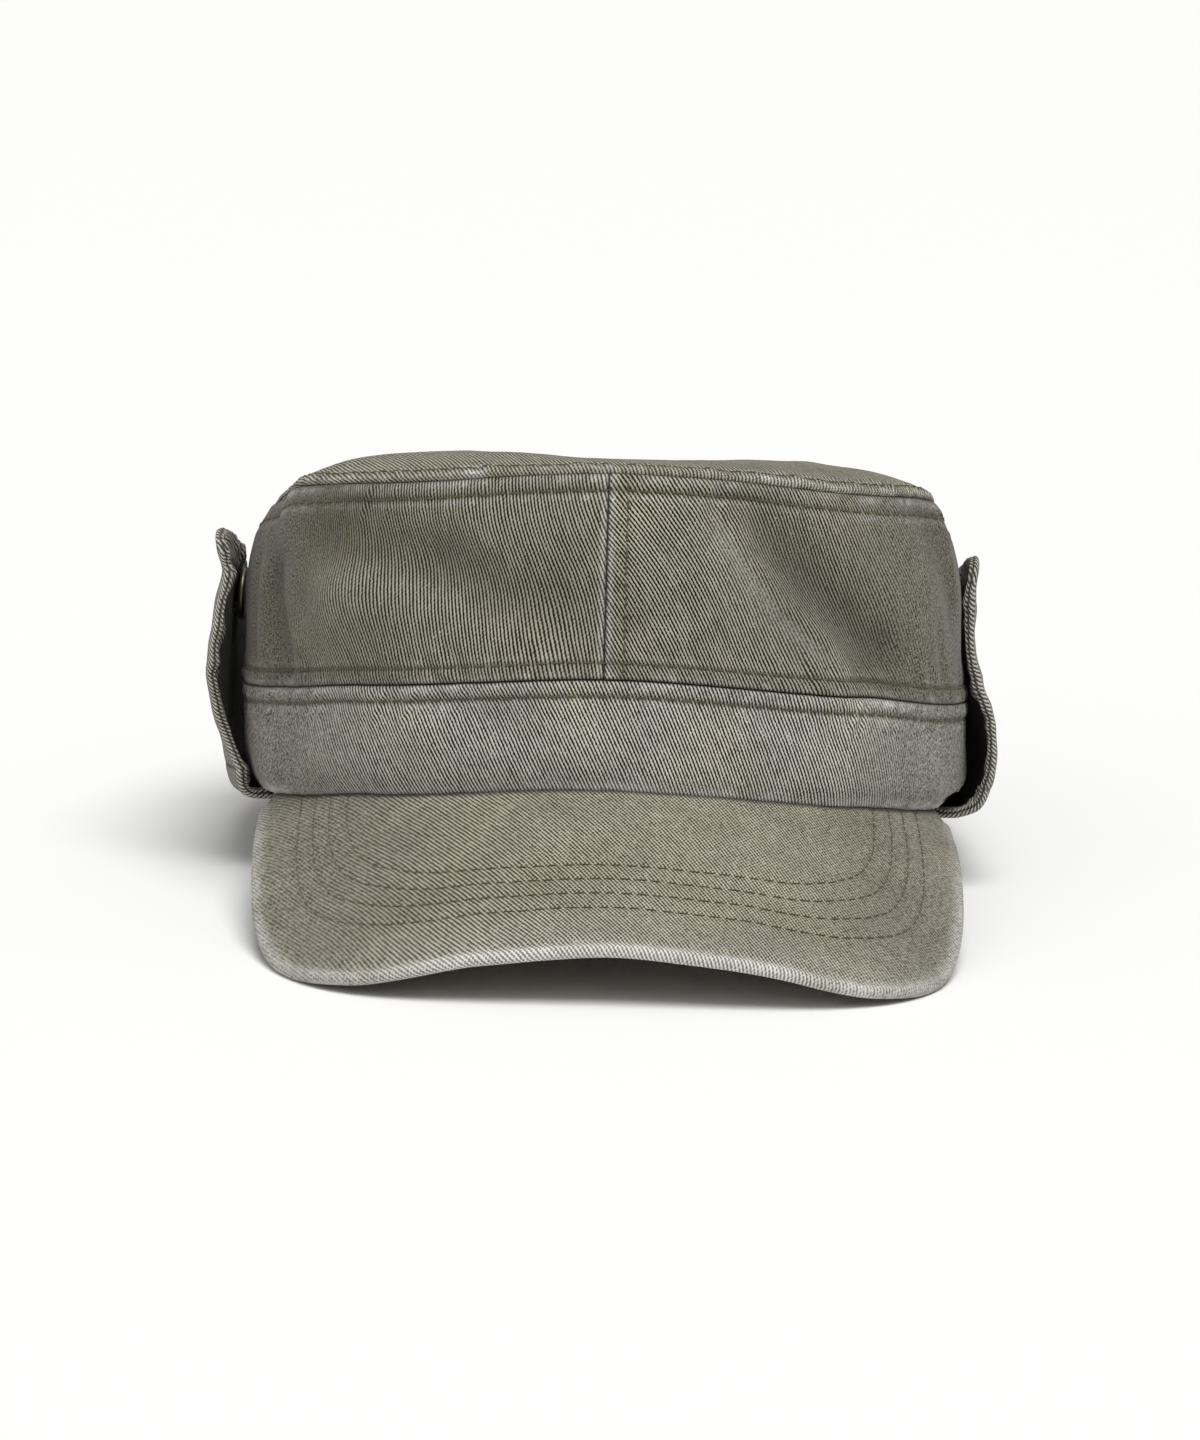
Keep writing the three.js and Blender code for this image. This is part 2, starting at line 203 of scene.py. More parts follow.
# Sewing
STITCH = 3.0                   # length of a topstitch
STITCH_GAP = 0.5
THREAD = 0.42                  # diameter of the thread
STITCH_ROW = 3.6               # from a seam to the topstitching beside it
CENTRE_ROW = 4.4               # the same at the front seam, on its right side only
FRONT_SEAM = -2.3              # of the front seam to the right of the middle
SEAM_ROLL = 0.5                # how far a panel's edge turns in at a seam
SEAM_EDGE = 0.24
SEAM_PAD = 0.45                # rise over the folded seam allowance
STITCH_SINK = 0.42
HEM_STITCH = 6.0               # from the earflap's edge to its stitching

# Unevenness of the cloth: the lumps' size, height and seed
CROWN_LUMPS = ((17, 0.42, 21), (6, 0.13, 22))
BAND_LUMPS = ((17, 0.34, 21), (6, 0.12, 22))
TOP_LUMPS = ((26, 0.7, 52), (11, 0.3, 53), (5, 0.1, 54))
PEAK_LUMPS = ((14, 0.16, 61), (5, 0.06, 62))
FLAP_LUMPS = ((8, 0.4, 71), (3.6, 0.22, 72))


# Shapes

def bell(distance, width):
    return np.exp(-((distance / width) ** 2))


def ease(x, start, end):
    """0 before start, 1 after end, smooth between; start may be the larger one."""
    t = np.clip((x - start) / (end - start), 0, 1)
    return t * t * (3 - 2 * t)


def along(rows, column, x, flat_ends=False):
    """A table's column where its first column is x, by a cubic that doesn't overshoot the rows."""
    at, value = next(iter(rows.values())), rows[column]
    span = np.diff(at)
    slope = np.diff(value) / span
    product, total = slope[:-1] * slope[1:], slope[:-1] + slope[1:]
    inner = np.where(product > 0, 2 * product / np.where(total == 0, 1, total), 0)
    first, last = (0, 0) if flat_ends else (slope[0], slope[-1])
    tangent = np.concatenate([[first], inner, [last]])
    x = np.clip(x, at[0], at[-1])
    k = np.clip(np.searchsorted(at, x, side="right") - 1, 0, len(span) - 1)
    t = (x - at[k]) / span[k]
    ends = value[k] * (2 * t**3 - 3 * t**2 + 1) + value[k + 1] * (3 * t**2 - 2 * t**3)
    bends = tangent[k] * (t**3 - 2 * t**2 + t) + tangent[k + 1] * (t**3 - t**2)
    return ends + bends * span[k]


def superellipse(across, ahead, half, length, power):
    """Reach of a squarish oval from its centre, in the direction of across and ahead."""
    return (np.abs(across / half) ** power + np.abs(ahead / length) ** power) ** (-1 / power)


def noise(points, size, seed):
    """Smooth lumps of a given size in mm, from -1 to 1, at points of any shape ending in 3."""
    count = 32
    lattice = np.random.default_rng(seed).uniform(-1, 1, (count, count, count))
    spot = np.asarray(points) / size + 500
    cell = np.floor(spot).astype(int)
    share = spot - cell
    share = share * share * (3 - 2 * share)
    total = 0
    for corner in np.ndindex(2, 2, 2):
        weight = np.prod(np.where(corner, share, 1 - share), axis=-1)
        total = total + weight * lattice[tuple(((cell + corner) % count)[..., k] for k in range(3))]
    return total


def lumpy(points, lumps):
    return sum(height * noise(points, size, seed) for size, height, seed in lumps)


def noise_along(run, size, seed):
    """Noise on a line."""
    zero = np.zeros_like(run)
    return noise(np.stack([run, zero, zero], -1), size, seed)


def unit(vectors):
    return vectors / np.maximum(np.linalg.norm(vectors, axis=-1, keepdims=True), 1e-9)


def lengths_along(path):
    """Distance from a path's first point to each of its points."""
    return np.concatenate([[0], np.cumsum(np.linalg.norm(np.diff(path, axis=0), axis=1))])


def side_name(side):
    return "right" if side > 0 else "left"


def facing(surface, a, b, step_a, step_b):
    """Outward normals of surface(a, b)."""
    sideways = surface(a + step_a, b) - surface(a - step_a, b)
    upwards = surface(a, b + step_b) - surface(a, b - step_b)
    return unit(np.cross(sideways, upwards))


# The wall of the cap: deg from the front, level 0 at the hem, 1 at the band seam, 2 at the top seam

def rise_at(deg):
    left = along(STATIONS, "left", np.abs(deg), True)
    right = along(STATIONS, "right", np.abs(deg), True)
    return np.where(deg > 0, right, left)


def climb(deg, level):
    over_band = BAND_HEIGHT + (level - 1) * (rise_at(deg) - BAND_HEIGHT)
    return np.where(level <= 1, level * BAND_HEIGHT, over_band)


def level_at(deg, up):
    over_band = 1 + (up - BAND_HEIGHT) / (rise_at(deg) - BAND_HEIGHT)
    return np.where(up <= BAND_HEIGHT, up / BAND_HEIGHT, over_band)


ARC_PER_DEGREE = 1.62          # mm round the cap, on average


def laid_flat(deg, level):
    """A place on the wall in mm round and up, as if its cloth lay flat."""
    return np.stack([deg * ARC_PER_DEGREE, climb(0 * deg, level)], -1)


def fold_depth(deg, level, folds):
    here = laid_flat(deg, level)
    total = np.zeros(np.broadcast(deg, level).shape)
    for start_deg, start_level, end_deg, end_level, width, depth in folds:
        start = laid_flat(start_deg, start_level)
        run = laid_flat(end_deg, end_level) - start
        share = np.clip((here - start) @ run / (run @ run), 0, 1)
        distance = np.linalg.norm(here - start - share[..., None] * run, axis=-1)
        total = total + depth * bell(distance, width)
    return total


def crease_step(deg, level, line, height, edge, reach):
    """A step across a line, height mm up on its left and down on its right.

    It is edge mm wide, dies away within reach on both sides and fades at the line's ends.
    """
    here, path = laid_flat(deg, level), laid_flat(*np.array(line).T)
    length = lengths_along(path)
    nearest = np.full(here.shape[:-1], np.inf)
    sideways, reached = np.zeros_like(nearest), np.zeros_like(nearest)
    for k in range(len(path) - 1):
        run = path[k + 1] - path[k]
        share = np.clip((here - path[k]) @ run / (run @ run), 0, 1)
        apart = here - path[k] - share[..., None] * run
        distance = np.linalg.norm(apart, axis=-1)
        closer = distance < nearest
        nearest = np.where(closer, distance, nearest)
        left = np.sign(run[0] * apart[..., 1] - run[1] * apart[..., 0])
        sideways = np.where(closer, left * distance, sideways)
        reached = np.where(closer, (length[k] + share * (length[k + 1] - length[k])) / length[-1], reached)
    ends = ease(reached, 0, 0.2) * ease(reached, 1, 0.75)
    return height * ends * np.tanh(sideways / edge) * np.exp(-nearest / reach)


def plain_reach(deg, level):
    """From the cap's upright axis to the wall without its folds."""
    across, ahead = np.sin(np.radians(deg)), np.cos(np.radians(deg))
    front, back = along(PROFILE, "front", level), along(PROFILE, "back", level)
    length = np.where(ahead > 0, front, back)
    return superellipse(across, ahead, along(PROFILE, "half", level), length, SQUARENESS)


def on_wall(deg, level, out=0.0, up=None):
    """A point of the folded wall, or out mm outside it; up may be given beyond the level's own."""
    up = climb(deg, level) if up is None else up
    reach = plain_reach(deg, level) + fold_depth(deg, level, FOLDS) + out
    rim = along(STATIONS, "rim", np.abs(deg), True)
    x = reach * np.sin(np.radians(deg))
    y = RING_CENTRE_Y - reach * np.cos(np.radians(deg)) + up * math.sin(LEAN)
    return np.stack(np.broadcast_arrays(x, y, rim + up * math.cos(LEAN)), -1)


def wall_at(deg, up):
    return on_wall(deg, level_at(deg, up), 0.0, up)


RING_DEG = np.linspace(-180, 180, 1441)


def measured_ring():
    """Length of the band seam from the front to each of RING_DEG, with both halves cut alike."""
    run = lengths_along(on_wall(RING_DEG, np.full_like(RING_DEG, 1.0)))
    run = run - np.interp(0, RING_DEG, run)
    half = (run[-1] - run[0]) / 2
    return run * np.where(run < 0, -half / run[0], half / run[-1])


RING_RUN = measured_ring()


def run_at(deg):
    """Length of cloth round the cap from the front to deg, along the band seam."""
    return np.interp(deg, RING_DEG, RING_RUN)


def deg_at(run):
    return np.interp(run, RING_RUN, RING_DEG)


BACK_RUN = run_at(180.0)


# Relief beside seams

def pucker(run, seed):
    """Gathers where stitches draw the cloth in, along a seam."""
    return 0.75 * noise_along(run, 1.7, seed) + 0.6 * noise_along(run, 4.2, seed + 1)


def seam_relief(distance, run, seed, padded=1.0, row=STITCH_ROW):
    """Height of the cloth at a distance from a topstitched seam, with run the place along it.

    The seam rolls in less far from the front, and an upright one less near its top.
    """
    rolled = 1 - 0.7 * ease(np.abs(run), 55, 85)
    roll = -SEAM_ROLL * rolled * np.exp(-np.maximum(distance, 0) / SEAM_EDGE)
    pad = SEAM_PAD * padded * ease(distance, row + 1.2, row - 0.5)
    groove = -STITCH_SINK * padded * bell(distance - row, 0.62)
    slant = run + 0.5 * distance
    between, beyond = bell(distance - 1.9, 1.5), bell(distance - row - 2.2, 2.8)
    gathers = pucker(slant, seed) * (0.5 * between + 0.5 * padded * beyond)
    return roll + pad + groove + gathers


def seam_wear(distance, run, seed, row=STITCH_ROW):
    """How worn pale the cloth is beside a seam."""
    patchy = 0.7 + 0.6 * noise_along(run, 9, seed)
    ribs = 0.7 + 0.8 * pucker(run + 0.5 * distance, seed + 60)
    return patchy * ribs * (0.62 * bell(distance - 1.0, 0.8) + 0.3 * bell(distance - row - 1.3, 0.8))


def seam_shade(distance, row=STITCH_ROW, sewn=1.0):
    """How dark the cloth is at a seam: painted shade in its crease and in the groove of its stitching, and
    a slightly darker strip between them.
    """
    crease = np.exp(-np.maximum(distance, 0) / 0.14)
    strip = 0.12 * ease(distance, row + 1.2, row) * sewn
    return np.clip(crease + strip + 0.45 * sewn * bell(distance - row, 0.6), 0, 1)


def marked(wear, soil_and_shade, nap):
    """Marks that the material reads at each point, from 0 to 1."""
    return {"wear": np.clip(wear, 0, 1), "soil_and_shade": np.clip(soil_and_shade, 0, 1), "nap": np.clip(nap, 0, 1)}


def nap_at(run):
    """The cloth is rubbed softer, with its ridges flatter, towards the sides of the cap."""
    left, right = 0.92 * ease(-run, 54, 94), 0.92 * ease(run, 50, 90)
    return (left + right) * (1 - 0.8 * ease(np.abs(run), 125, 165)) + 0.1 * noise_along(run, 20, 91)


# Crown: deg round it, up from the hem

def crown_relief(deg, up):
    run = run_at(deg)
    base, level = wall_at(deg, up), level_at(deg, up)
    over, under = up - BAND_HEIGHT - SEAM_GAP, rise_at(deg) - up
    aside = np.abs(run - FRONT_SEAM) - SEAM_GAP / 2
    behind = BACK_RUN - np.abs(run) - SEAM_GAP / 2
    # The front seam has stitches on its right side only, and the top seam's fade at the sides.
    sewn = np.where(run > FRONT_SEAM, 1.0, 0.0)
    faint = 1 - 0.65 * ease(-run, 62, 80) - 0.5 * ease(run, 28, 60)
    small = fold_depth(deg, level, SMALL_FOLDS)
    steps = crease_step(deg, level, RIGHT_CREASE, 0.9, 2.0, 8)
    steps = steps - crease_step(deg, level, LEFT_CREASE, 0.9, 1.6, 7)
    height = small + steps
    height = height + seam_relief(over, run, 11) + seam_relief(under, run, 13) * faint
    height = height + seam_relief(aside, up, 15, sewn, CENTRE_ROW) * 0.5
    height = height + seam_relief(behind, up, 17) * 0.8
    height = height + lumpy(base, CROWN_LUMPS)
    # Below the right crease the cloth is rubbed pale and soft.
    lip = np.clip(crease_step(deg, level, RIGHT_CREASE, -1.0, 0.7, 3.2), 0, 1)
    wear = (seam_wear(over, run, 31) + seam_wear(under, run, 32)) * 0.8
    wear = wear + 0.35 * bell(aside - 0.8, 0.6) + 0.36 * lip
    # Painted shade darkens the seams' creases and the grooves of their stitching.
    soil_and_shade = seam_shade(over) + seam_shade(under) * faint + seam_shade(behind)
    soil_and_shade = soil_and_shade + seam_shade(aside, CENTRE_ROW, 0.5 * sewn) * 0.7
    # Painted shade: dents, the sides of the cap and the hollow beside that crease are painted darker.
    dent_shade = np.clip(-fold_depth(deg, level, FOLDS) - small - steps, 0, 4)
    hollow = bell(np.hypot(run - 41, up - 51), 11)
    soil_and_shade = soil_and_shade + 0.1 * dent_shade + 0.25 * ease(-run, 36, 68) + 0.17 * ease(run, 28, 60) + 0.18 * hollow
    return height, marked(wear, soil_and_shade, nap_at(run) + 0.8 * lip + 0.3 * hollow)


def raised(surface, relief, a, b, step_a, step_b):
    """Points of a surface moved out by its relief, with their normals and marks."""
    normal = facing(surface, a, b, step_a, step_b)
    height, marks = relief(a, b)
    return surface(a, b) + normal * height[..., None], normal, marks


def raised_wall(relief, deg, up):
    return raised(wall_at, relief, deg, up, 0.2, 0.3)


def fine_steps(nearest, near, reach):
    """Distances from a seam for a grid's lines: nearest mm apart close to it, near mm apart up to reach."""
    return np.concatenate([np.arange(0, 1.2, nearest), np.arange(1.2, reach, near)])


def graded(total, near, coarse, reach):
    """Steps from 0 to total, fine up to reach from both ends and coarse between."""
    fine = fine_steps(near / 2, near, reach)
    middle = np.linspace(reach, total - reach, max(int((total - 2 * reach) / coarse), 2))
    return np.concatenate([fine, middle, (total - fine)[::-1]])


FINE_REACH = 7                 # how far from a seam the crown's grid is fine


def crown_grid(side):
    front, back = FRONT_SEAM + side * SEAM_GAP / 2, side * (BACK_RUN - SEAM_GAP / 2)
    runs = front + side * graded(abs(back - front), 0.7, 0.85, FINE_REACH)
    deg = deg_at(runs[::side])
    fine = np.append(fine_steps(0.21, 0.42, FINE_REACH), FINE_REACH)[:, None]
    start, end = BAND_HEIGHT + SEAM_GAP, rise_at(deg)
    shares = np.linspace(0, 1, 34)[1:-1, None]
    middle = start + FINE_REACH + shares * (end - start - 2 * FINE_REACH)
    up = np.vstack([start + fine + 0 * deg, middle, end - fine[::-1]])
    return np.broadcast_to(deg, up.shape), up


# Shells of cloth

GROOVE_TURN = 1.9              # place of a rim's furrow, in radians from the outer face


def rim_directions(outer, normal, cloth, bulge):
    """Where the rim bulges to at each edge of a grid, and where the weave goes on there."""
    outwards, spread = np.zeros_like(outer), np.zeros_like(cloth)
    rows = (np.s_[0], np.s_[1]), (np.s_[-1], np.s_[-2])
    columns = (np.s_[:, 0], np.s_[:, 1]), (np.s_[:, -1], np.s_[:, -2])
    for (edge, inside), roundness in zip(rows + columns, bulge):
        outwards[edge] += unit(outer[edge] - outer[inside]) * roundness
        spread[edge] += unit(cloth[edge] - cloth[inside]) * (roundness > 0)
    return outwards - (outwards * normal).sum(-1, keepdims=True) * normal, spread


def rim_loops(rows, cols, wrap, pole):
    """Rows and columns of a grid's edge points: all in one loop, or in a loop at each open end."""
    first, last = [(0, i) for i in range(cols)], [(rows - 1, i) for i in reversed(range(cols))]
    if wrap:
        return [last] if pole else [last, first]
    up, down = [(j, cols - 1) for j in range(rows)], [(j, 0) for j in reversed(range(rows))]
    return [first + up[1:] + last[1:] + down[1:]]


def shell(outer, normal, thickness, cloth, marks, bulge, wrap=False, pole=False, steps=4, groove=0.0,
          bound=False, inner_painted_shade=None):
    """A closed shell under a grid of outer points: vertices, quads, cloth coordinates and marks.

    bulge says how round the rim is at the first row, last row, first column and last column.
    With wrap the last column repeats the first; with pole the first row is one point.
    With bound the weave runs across the rim in close ribs, as in a binding. groove is how deep a
    furrow runs round the rim. Points that fall together share a number in the fourth result.
    """
    rows, cols = outer.shape[:2]
    thickness = np.broadcast_to(thickness, (rows, cols))
    index = np.arange(rows * cols).reshape(rows, cols)
    real = index.copy()
    if wrap:
        real[:, -1] = real[:, 0]
    if pole:
        real[0, :] = 0
    size = rows * cols
    points = [outer.reshape(-1, 3), (outer - normal * thickness[..., None]).reshape(-1, 3)]
    mirrored = cloth * np.array([-1, 1])
    places = [cloth.reshape(-1, 2), mirrored.reshape(-1, 2)]
    reals = [real.ravel(), real.ravel() + size]
    # The inner face is marked less, unless its painted shade is given.
    values = {k: [v.ravel(), v.ravel() * 0.3] for k, v in marks.items()}
    if inner_painted_shade is not None:
        values["soil_and_shade"][1] = inner_painted_shade.ravel()
    a, b, c, d = index[:-1, :-1], index[:-1, 1:], index[1:, 1:], index[1:, :-1]
    quads = [np.stack([a, b, c, d], -1).reshape(-1, 4), np.stack([a, d, c, b], -1).reshape(-1, 4) + size]

    outwards, spread = rim_directions(outer, normal, cloth, bulge)
    count = 2 * size
    for loop in rim_loops(rows, cols, wrap, pole):
        j, i = np.array(loop).T
        half = thickness[j, i][:, None] / 2
        middle = outer[j, i] - normal[j, i] * half
        edge_run = lengths_along(outer[j, i])
        rings = [index[j, i]]
        for k in range(1, steps + 1):
            turn = math.pi * k / steps
            notch = 1 - groove * bell(turn - GROOVE_TURN, 0.32)
            ring = middle + half * notch * (math.cos(turn) * normal[j, i] + math.sin(turn) * outwards[j, i])
            points.append(ring)
            along_rim = np.stack([edge_run * 1.15, half[:, 0] * turn * 0.9], -1)
            places.append(along_rim if bound else cloth[j, i] + spread[j, i] * half * turn)
            made = np.arange(len(j)) + count
            same = made.copy()
            same[-1] = made[0]     # each loop ends where it began
            reals.append(real[j, i] + size if k == steps else same)
            for name, v in marks.items():
                # Painted shade darkens the furrow round the rim.
                furrow_shade = groove * 3 * bell(turn - GROOVE_TURN, 0.3) if name == "soil_and_shade" else 0
                values[name].append(np.clip(v[j, i] + furrow_shade, 0, 1))
            rings.append(made)
            count += len(j)
        for near, far in zip(rings[:-1], rings[1:]):
            quads.append(np.stack([near[1:], near[:-1], far[:-1], far[1:]], -1))
    return (
        np.vstack(points), np.vstack(quads), np.vstack(places), np.concatenate(reals),
        {k: np.concatenate(v) for k, v in values.items()},
    )


def mesh_object(name, points, faces, material):
    mesh = bpy.data.meshes.new(name)
    mesh.from_pydata((points * MM).tolist(), [], faces)
    mesh.materials.append(material)
    mesh.shade_smooth()
    made = bpy.data.objects.new(name, mesh)
    bpy.context.collection.objects.link(made)
    return made


def make_piece(name, points, faces, material, slot, *nodes):
    """A piece that rides on the cap and stands for its nodes of the solids."""
    piece = mesh_object(name, points, faces, material)
    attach(piece, "root")
    if nodes:
        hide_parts(*nodes)
    return piece


def cloth_piece(name, shell_parts, material, slot, *nodes):
    """A piece from a shell, with its cloth coordinates and marks."""
    points, quads, places, reals, marks = shell_parts
    points[:, 2] = np.maximum(points[:, 2], 0)     # pressed flat where it rests on the floor
    used, compact = np.unique(reals[quads], return_inverse=True)
    faces = compact.reshape(quads.shape)
    # At the middle of the top, two corners of each quad are one point.
    distinct = [[v for k, v in enumerate(face) if v != face[k - 1]] for face in faces.tolist()]
    mesh = make_piece(name, points[used], distinct, material, slot, *nodes).data
    kept = np.concatenate([
        [corner for k, corner in enumerate(quad) if face[k] != face[k - 1]]
        for quad, face in zip(quads.tolist(), faces.tolist())
    ])
    layer = mesh.uv_layers.new(name="cloth")
    layer.uv.foreach_set("vector", places[kept].astype(np.float32).ravel())
    for mark, values in marks.items():
        made = mesh.attributes.new(mark, "FLOAT", "POINT")
        made.data.foreach_set("value", values[used].astype(np.float32))


# Stitching

class Thread:
    """Collects stitches into one mesh."""

    def __init__(self):
        self.points, self.faces, self.count = [], [], 0

    def sew(self, path, normal, seed, stitch=STITCH, gap=STITCH_GAP, thick=THREAD, lift=0.0):
        """Stitches along a path, each one a short arched thread whose ends dip into the cloth."""
        sides, rings = 6, 7
        run = lengths_along(path)
        number = int(run[-1] / (stitch + gap))
        rng = np.random.default_rng(seed)
        start = (np.arange(number) + 0.5) * run[-1] / number - stitch / 2 + rng.uniform(-0.15, 0.15, number)
        share = np.linspace(0, 1, rings)
        at = start[:, None] + share * stitch * rng.uniform(0.9, 1.06, number)[:, None]
        spot = np.stack([np.interp(at, run, path[:, k]) for k in range(3)], -1)
        up = unit(np.stack([np.interp(at, run, normal[:, k]) for k in range(3)], -1))
        ahead = unit(np.gradient(spot, axis=1))
        side = np.cross(up, ahead)
        ends = (2 * share - 1) ** 8
        spot = spot + side * (rng.uniform(-0.08, 0.08, number)[:, None, None])
        spot = spot + up * (lift + thick * 0.3 - ends * thick * 1.1)[None, :, None]
        radius = thick / 2 * (1 - 0.35 * ends)
        turn = np.arange(sides) * 2 * math.pi / sides
        circle = np.cos(turn)[:, None, None, None] * side + np.sin(turn)[:, None, None, None] * up
        tube = spot + circle * radius[None, None, :, None]
        tube = np.moveaxis(tube, 0, 2).reshape(-1, 3)
        index = np.arange(number * rings * sides).reshape(number, rings, sides) + self.count
        nxt = np.roll(index, -1, axis=2)
        quads = np.stack([index[:, :-1], nxt[:, :-1], nxt[:, 1:], index[:, 1:]], -1).reshape(-1, 4)
        self.faces += quads.tolist() + index[:, 0, ::-1].tolist() + index[:, -1].tolist()
        self.points.append(tube)
        self.count += len(tube)

    def piece(self, name, slot):
        make_piece(name, np.vstack(self.points), self.faces, olive_thread, slot)


# Materials

def linear(hex_colour):
    """A colour as on a screen, such as 0x808080, in the shader's own light units."""
    parts = [(hex_colour >> shift & 255) / 255 for shift in (16, 8, 0)]
    return [c / 12.92 if c <= 0.04045 else ((c + 0.055) / 1.055) ** 2.4 for c in parts] + [1.0]


def add(tree, kind, inputs=None, **settings):
    """A node; inputs gives each socket a value or another node's output."""
    made = tree.nodes.new(kind)
    for name, value in settings.items():
        setattr(made, name, value)
    for name, value in (inputs or {}).items():
        if isinstance(value, bpy.types.NodeSocket):
            tree.links.new(value, made.inputs[name])
        else:
            made.inputs[name].default_value = value
    return made


def blank_material(name):
    """A material with an empty tree of nodes."""
    material = bpy.data.materials.new(name)
    material.use_nodes = True
    material.node_tree.nodes.clear()
    return material, material.node_tree


# The cloth has ridges every 0.75 mm. They are drawn a little coarser, because finer ones don't show
# in the render.
TWILL_PITCH = 0.82             # between neighbouring ridges, square to them
FLOAT_LENGTH = 0.9             # of one yarn's float along a ridge
YARN_AVERAGE = 1.6             # of the sum of ridge, floats, slubs and specks
NAPPED_LEVEL = 0.3             # share of the ridges' colour where the nap hides them
RIDGE_HEIGHT = 0.22
FADING = 0.153                 # how much paler or darker the washed cloth is in patches
BROWNING = 0.3                 # how brown its brownest patches are


def twill(name, ridge, valley, angle, seed, crisp=2.6, beads=0.14):
    """Washed cotton twill: pale worn ridges of yarn over darker valleys, faded in patches, matt, fuzzy.

    angle is the slope of the ridges, falling to the right; crisp says how sharply they stand out,
    and beads how strongly each one is broken up into its floats.
    """
    material, tree = blank_material(name)

    def calc(operation, *values):
        return add(tree, "ShaderNodeMath", dict(enumerate(values)), operation=operation).outputs[0]

    def spread(value, low, high, to_low=0.0, to_high=1.0, **settings):
        return add(tree, "ShaderNodeMapRange", {
            "Value": value, "From Min": low, "From Max": high, "To Min": to_low, "To Max": to_high,
        }, **settings).outputs[0]

    def cloud(place, scale, detail=2.0, offset=0.0):
        # scale is lumps per mm
        return add(tree, "ShaderNodeTexNoise", {
            "Vector": place, "W": seed + offset, "Scale": scale, "Detail": detail,
        }, noise_dimensions="4D").outputs[0]

    def blend(factor, first, second, blend_type="MIX"):
        ends = {0: factor, 6: first, 7: second}
        return add(tree, "ShaderNodeMix", ends, data_type="RGBA", blend_type=blend_type).outputs[2]

    def component(direction):
        return add(tree, "ShaderNodeVectorMath", {0: cloth, 1: direction},
                   operation="DOT_PRODUCT").outputs["Value"]

    def mark(label):
        return add(tree, "ShaderNodeAttribute", attribute_name=label).outputs["Fac"]

    cloth = add(tree, "ShaderNodeUVMap", uv_map="cloth").outputs[0]
    # The ridges wander by a few of their widths over a hand's breadth, as the washed cloth is drawn
    # out of square.
    waver = calc("MULTIPLY", cloud(cloth, 0.3, 1.0, 3.0), 0.25)
    drift = calc("MULTIPLY_ADD", cloud(cloth, 0.014, 0.0), 6.0, waver)
    lean = math.radians(angle)
    drifted = calc("ADD", component((math.sin(lean), math.cos(lean), 0)), drift)
    down = component((math.cos(lean), -math.sin(lean), 0))
    phase = calc("MULTIPLY", drifted, 2 * math.pi / TWILL_PITCH)
    rise = calc("MULTIPLY_ADD", calc("SINE", phase), 0.5, 0.5)
    # Each ridge is a row of slanting floats, with thick and thin places along the yarns.
    float_phase = calc("MULTIPLY", down, 2 * math.pi / FLOAT_LENGTH)
    floats = calc("SINE", calc("MULTIPLY_ADD", phase, 0.5, float_phase))
    yarn_place = add(tree, "ShaderNodeCombineXYZ", {
        "X": drifted, "Y": calc("MULTIPLY", down, 0.2), "Z": seed}).outputs[0]
    slub = cloud(yarn_place, 1.4)
    speck = cloud(cloth, 1.9)
    yarn = calc("ADD", calc("MULTIPLY_ADD", floats, beads, rise),
                calc("MULTIPLY_ADD", slub, 0.9, calc("MULTIPLY", speck, 1.3)))
    low, high = YARN_AVERAGE - 0.5 / crisp, YARN_AVERAGE + 0.5 / crisp
    level = spread(yarn, low, high, interpolation_type="SMOOTHSTEP")
    # Wear lifts the ridges towards undyed cotton. The darkening mark takes the cloth towards dark brown:
    # painted shade in creases, grooves, dents and at the sides, with some dye and dirt kept in the seams.
    wear, soil_and_shade, nap = mark("wear"), mark("soil_and_shade"), mark("nap")
    grain = calc("MULTIPLY_ADD", calc("SUBTRACT", speck, 0.5), 1.9, NAPPED_LEVEL)
    level = add(tree, "ShaderNodeMix", {"Factor": nap, "A": level, "B": grain}).outputs[0]
    level = calc("MAXIMUM", level, 0.0)
    dyed = blend(level, linear(valley), linear(ridge))
    faded = spread(cloud(cloth, 0.05, 3.0, 7.0), 0.3, 0.7, 1 - FADING, 1 + FADING)
    toned = add(tree, "ShaderNodeVectorMath", {0: dyed, "Scale": faded}, operation="SCALE").outputs[0]
    # Uneven dye: some patches are browner.
    browned = spread(cloud(cloth, 0.045, 3.0, 11.0), 0.45, 0.75, 0.0, BROWNING)
    warm = blend(browned, toned, linear(0xEFDFC4), "MULTIPLY")
    worn = blend(calc("MULTIPLY", wear, spread(level, 0.0, 1.0, 0.25, 1.0)), warm, linear(0xE4E3DE))
    # Painted shade: the darkening mark blends the colour towards a dark brown, with some dirt in the seams.
    soiled_and_shaded = blend(calc("MULTIPLY", soil_and_shade, 0.85), worn, linear(0x2B2920))
    height = calc("MULTIPLY_ADD", speck, 0.35, calc("MULTIPLY_ADD", floats, 0.12, rise))
    height = calc("MULTIPLY", height, calc("SUBTRACT", 1.0, nap))
    relief = add(tree, "ShaderNodeBump", {
        "Height": height, "Strength": 0.9, "Distance": RIDGE_HEIGHT * MM}).outputs[0]
    shader = add(tree, "ShaderNodeBsdfPrincipled", {
        "Base Color": soiled_and_shaded, "Normal": relief, "Roughness": 0.93, "IOR": 1.45,
        "Specular IOR Level": 0.2, "Sheen Weight": 0.1, "Sheen Roughness": 0.5})
    add(tree, "ShaderNodeOutputMaterial", {"Surface": shader.outputs[0]})
    return material


LINT_PER_MM = 0.9
TARNISH_PER_MM = 0.42


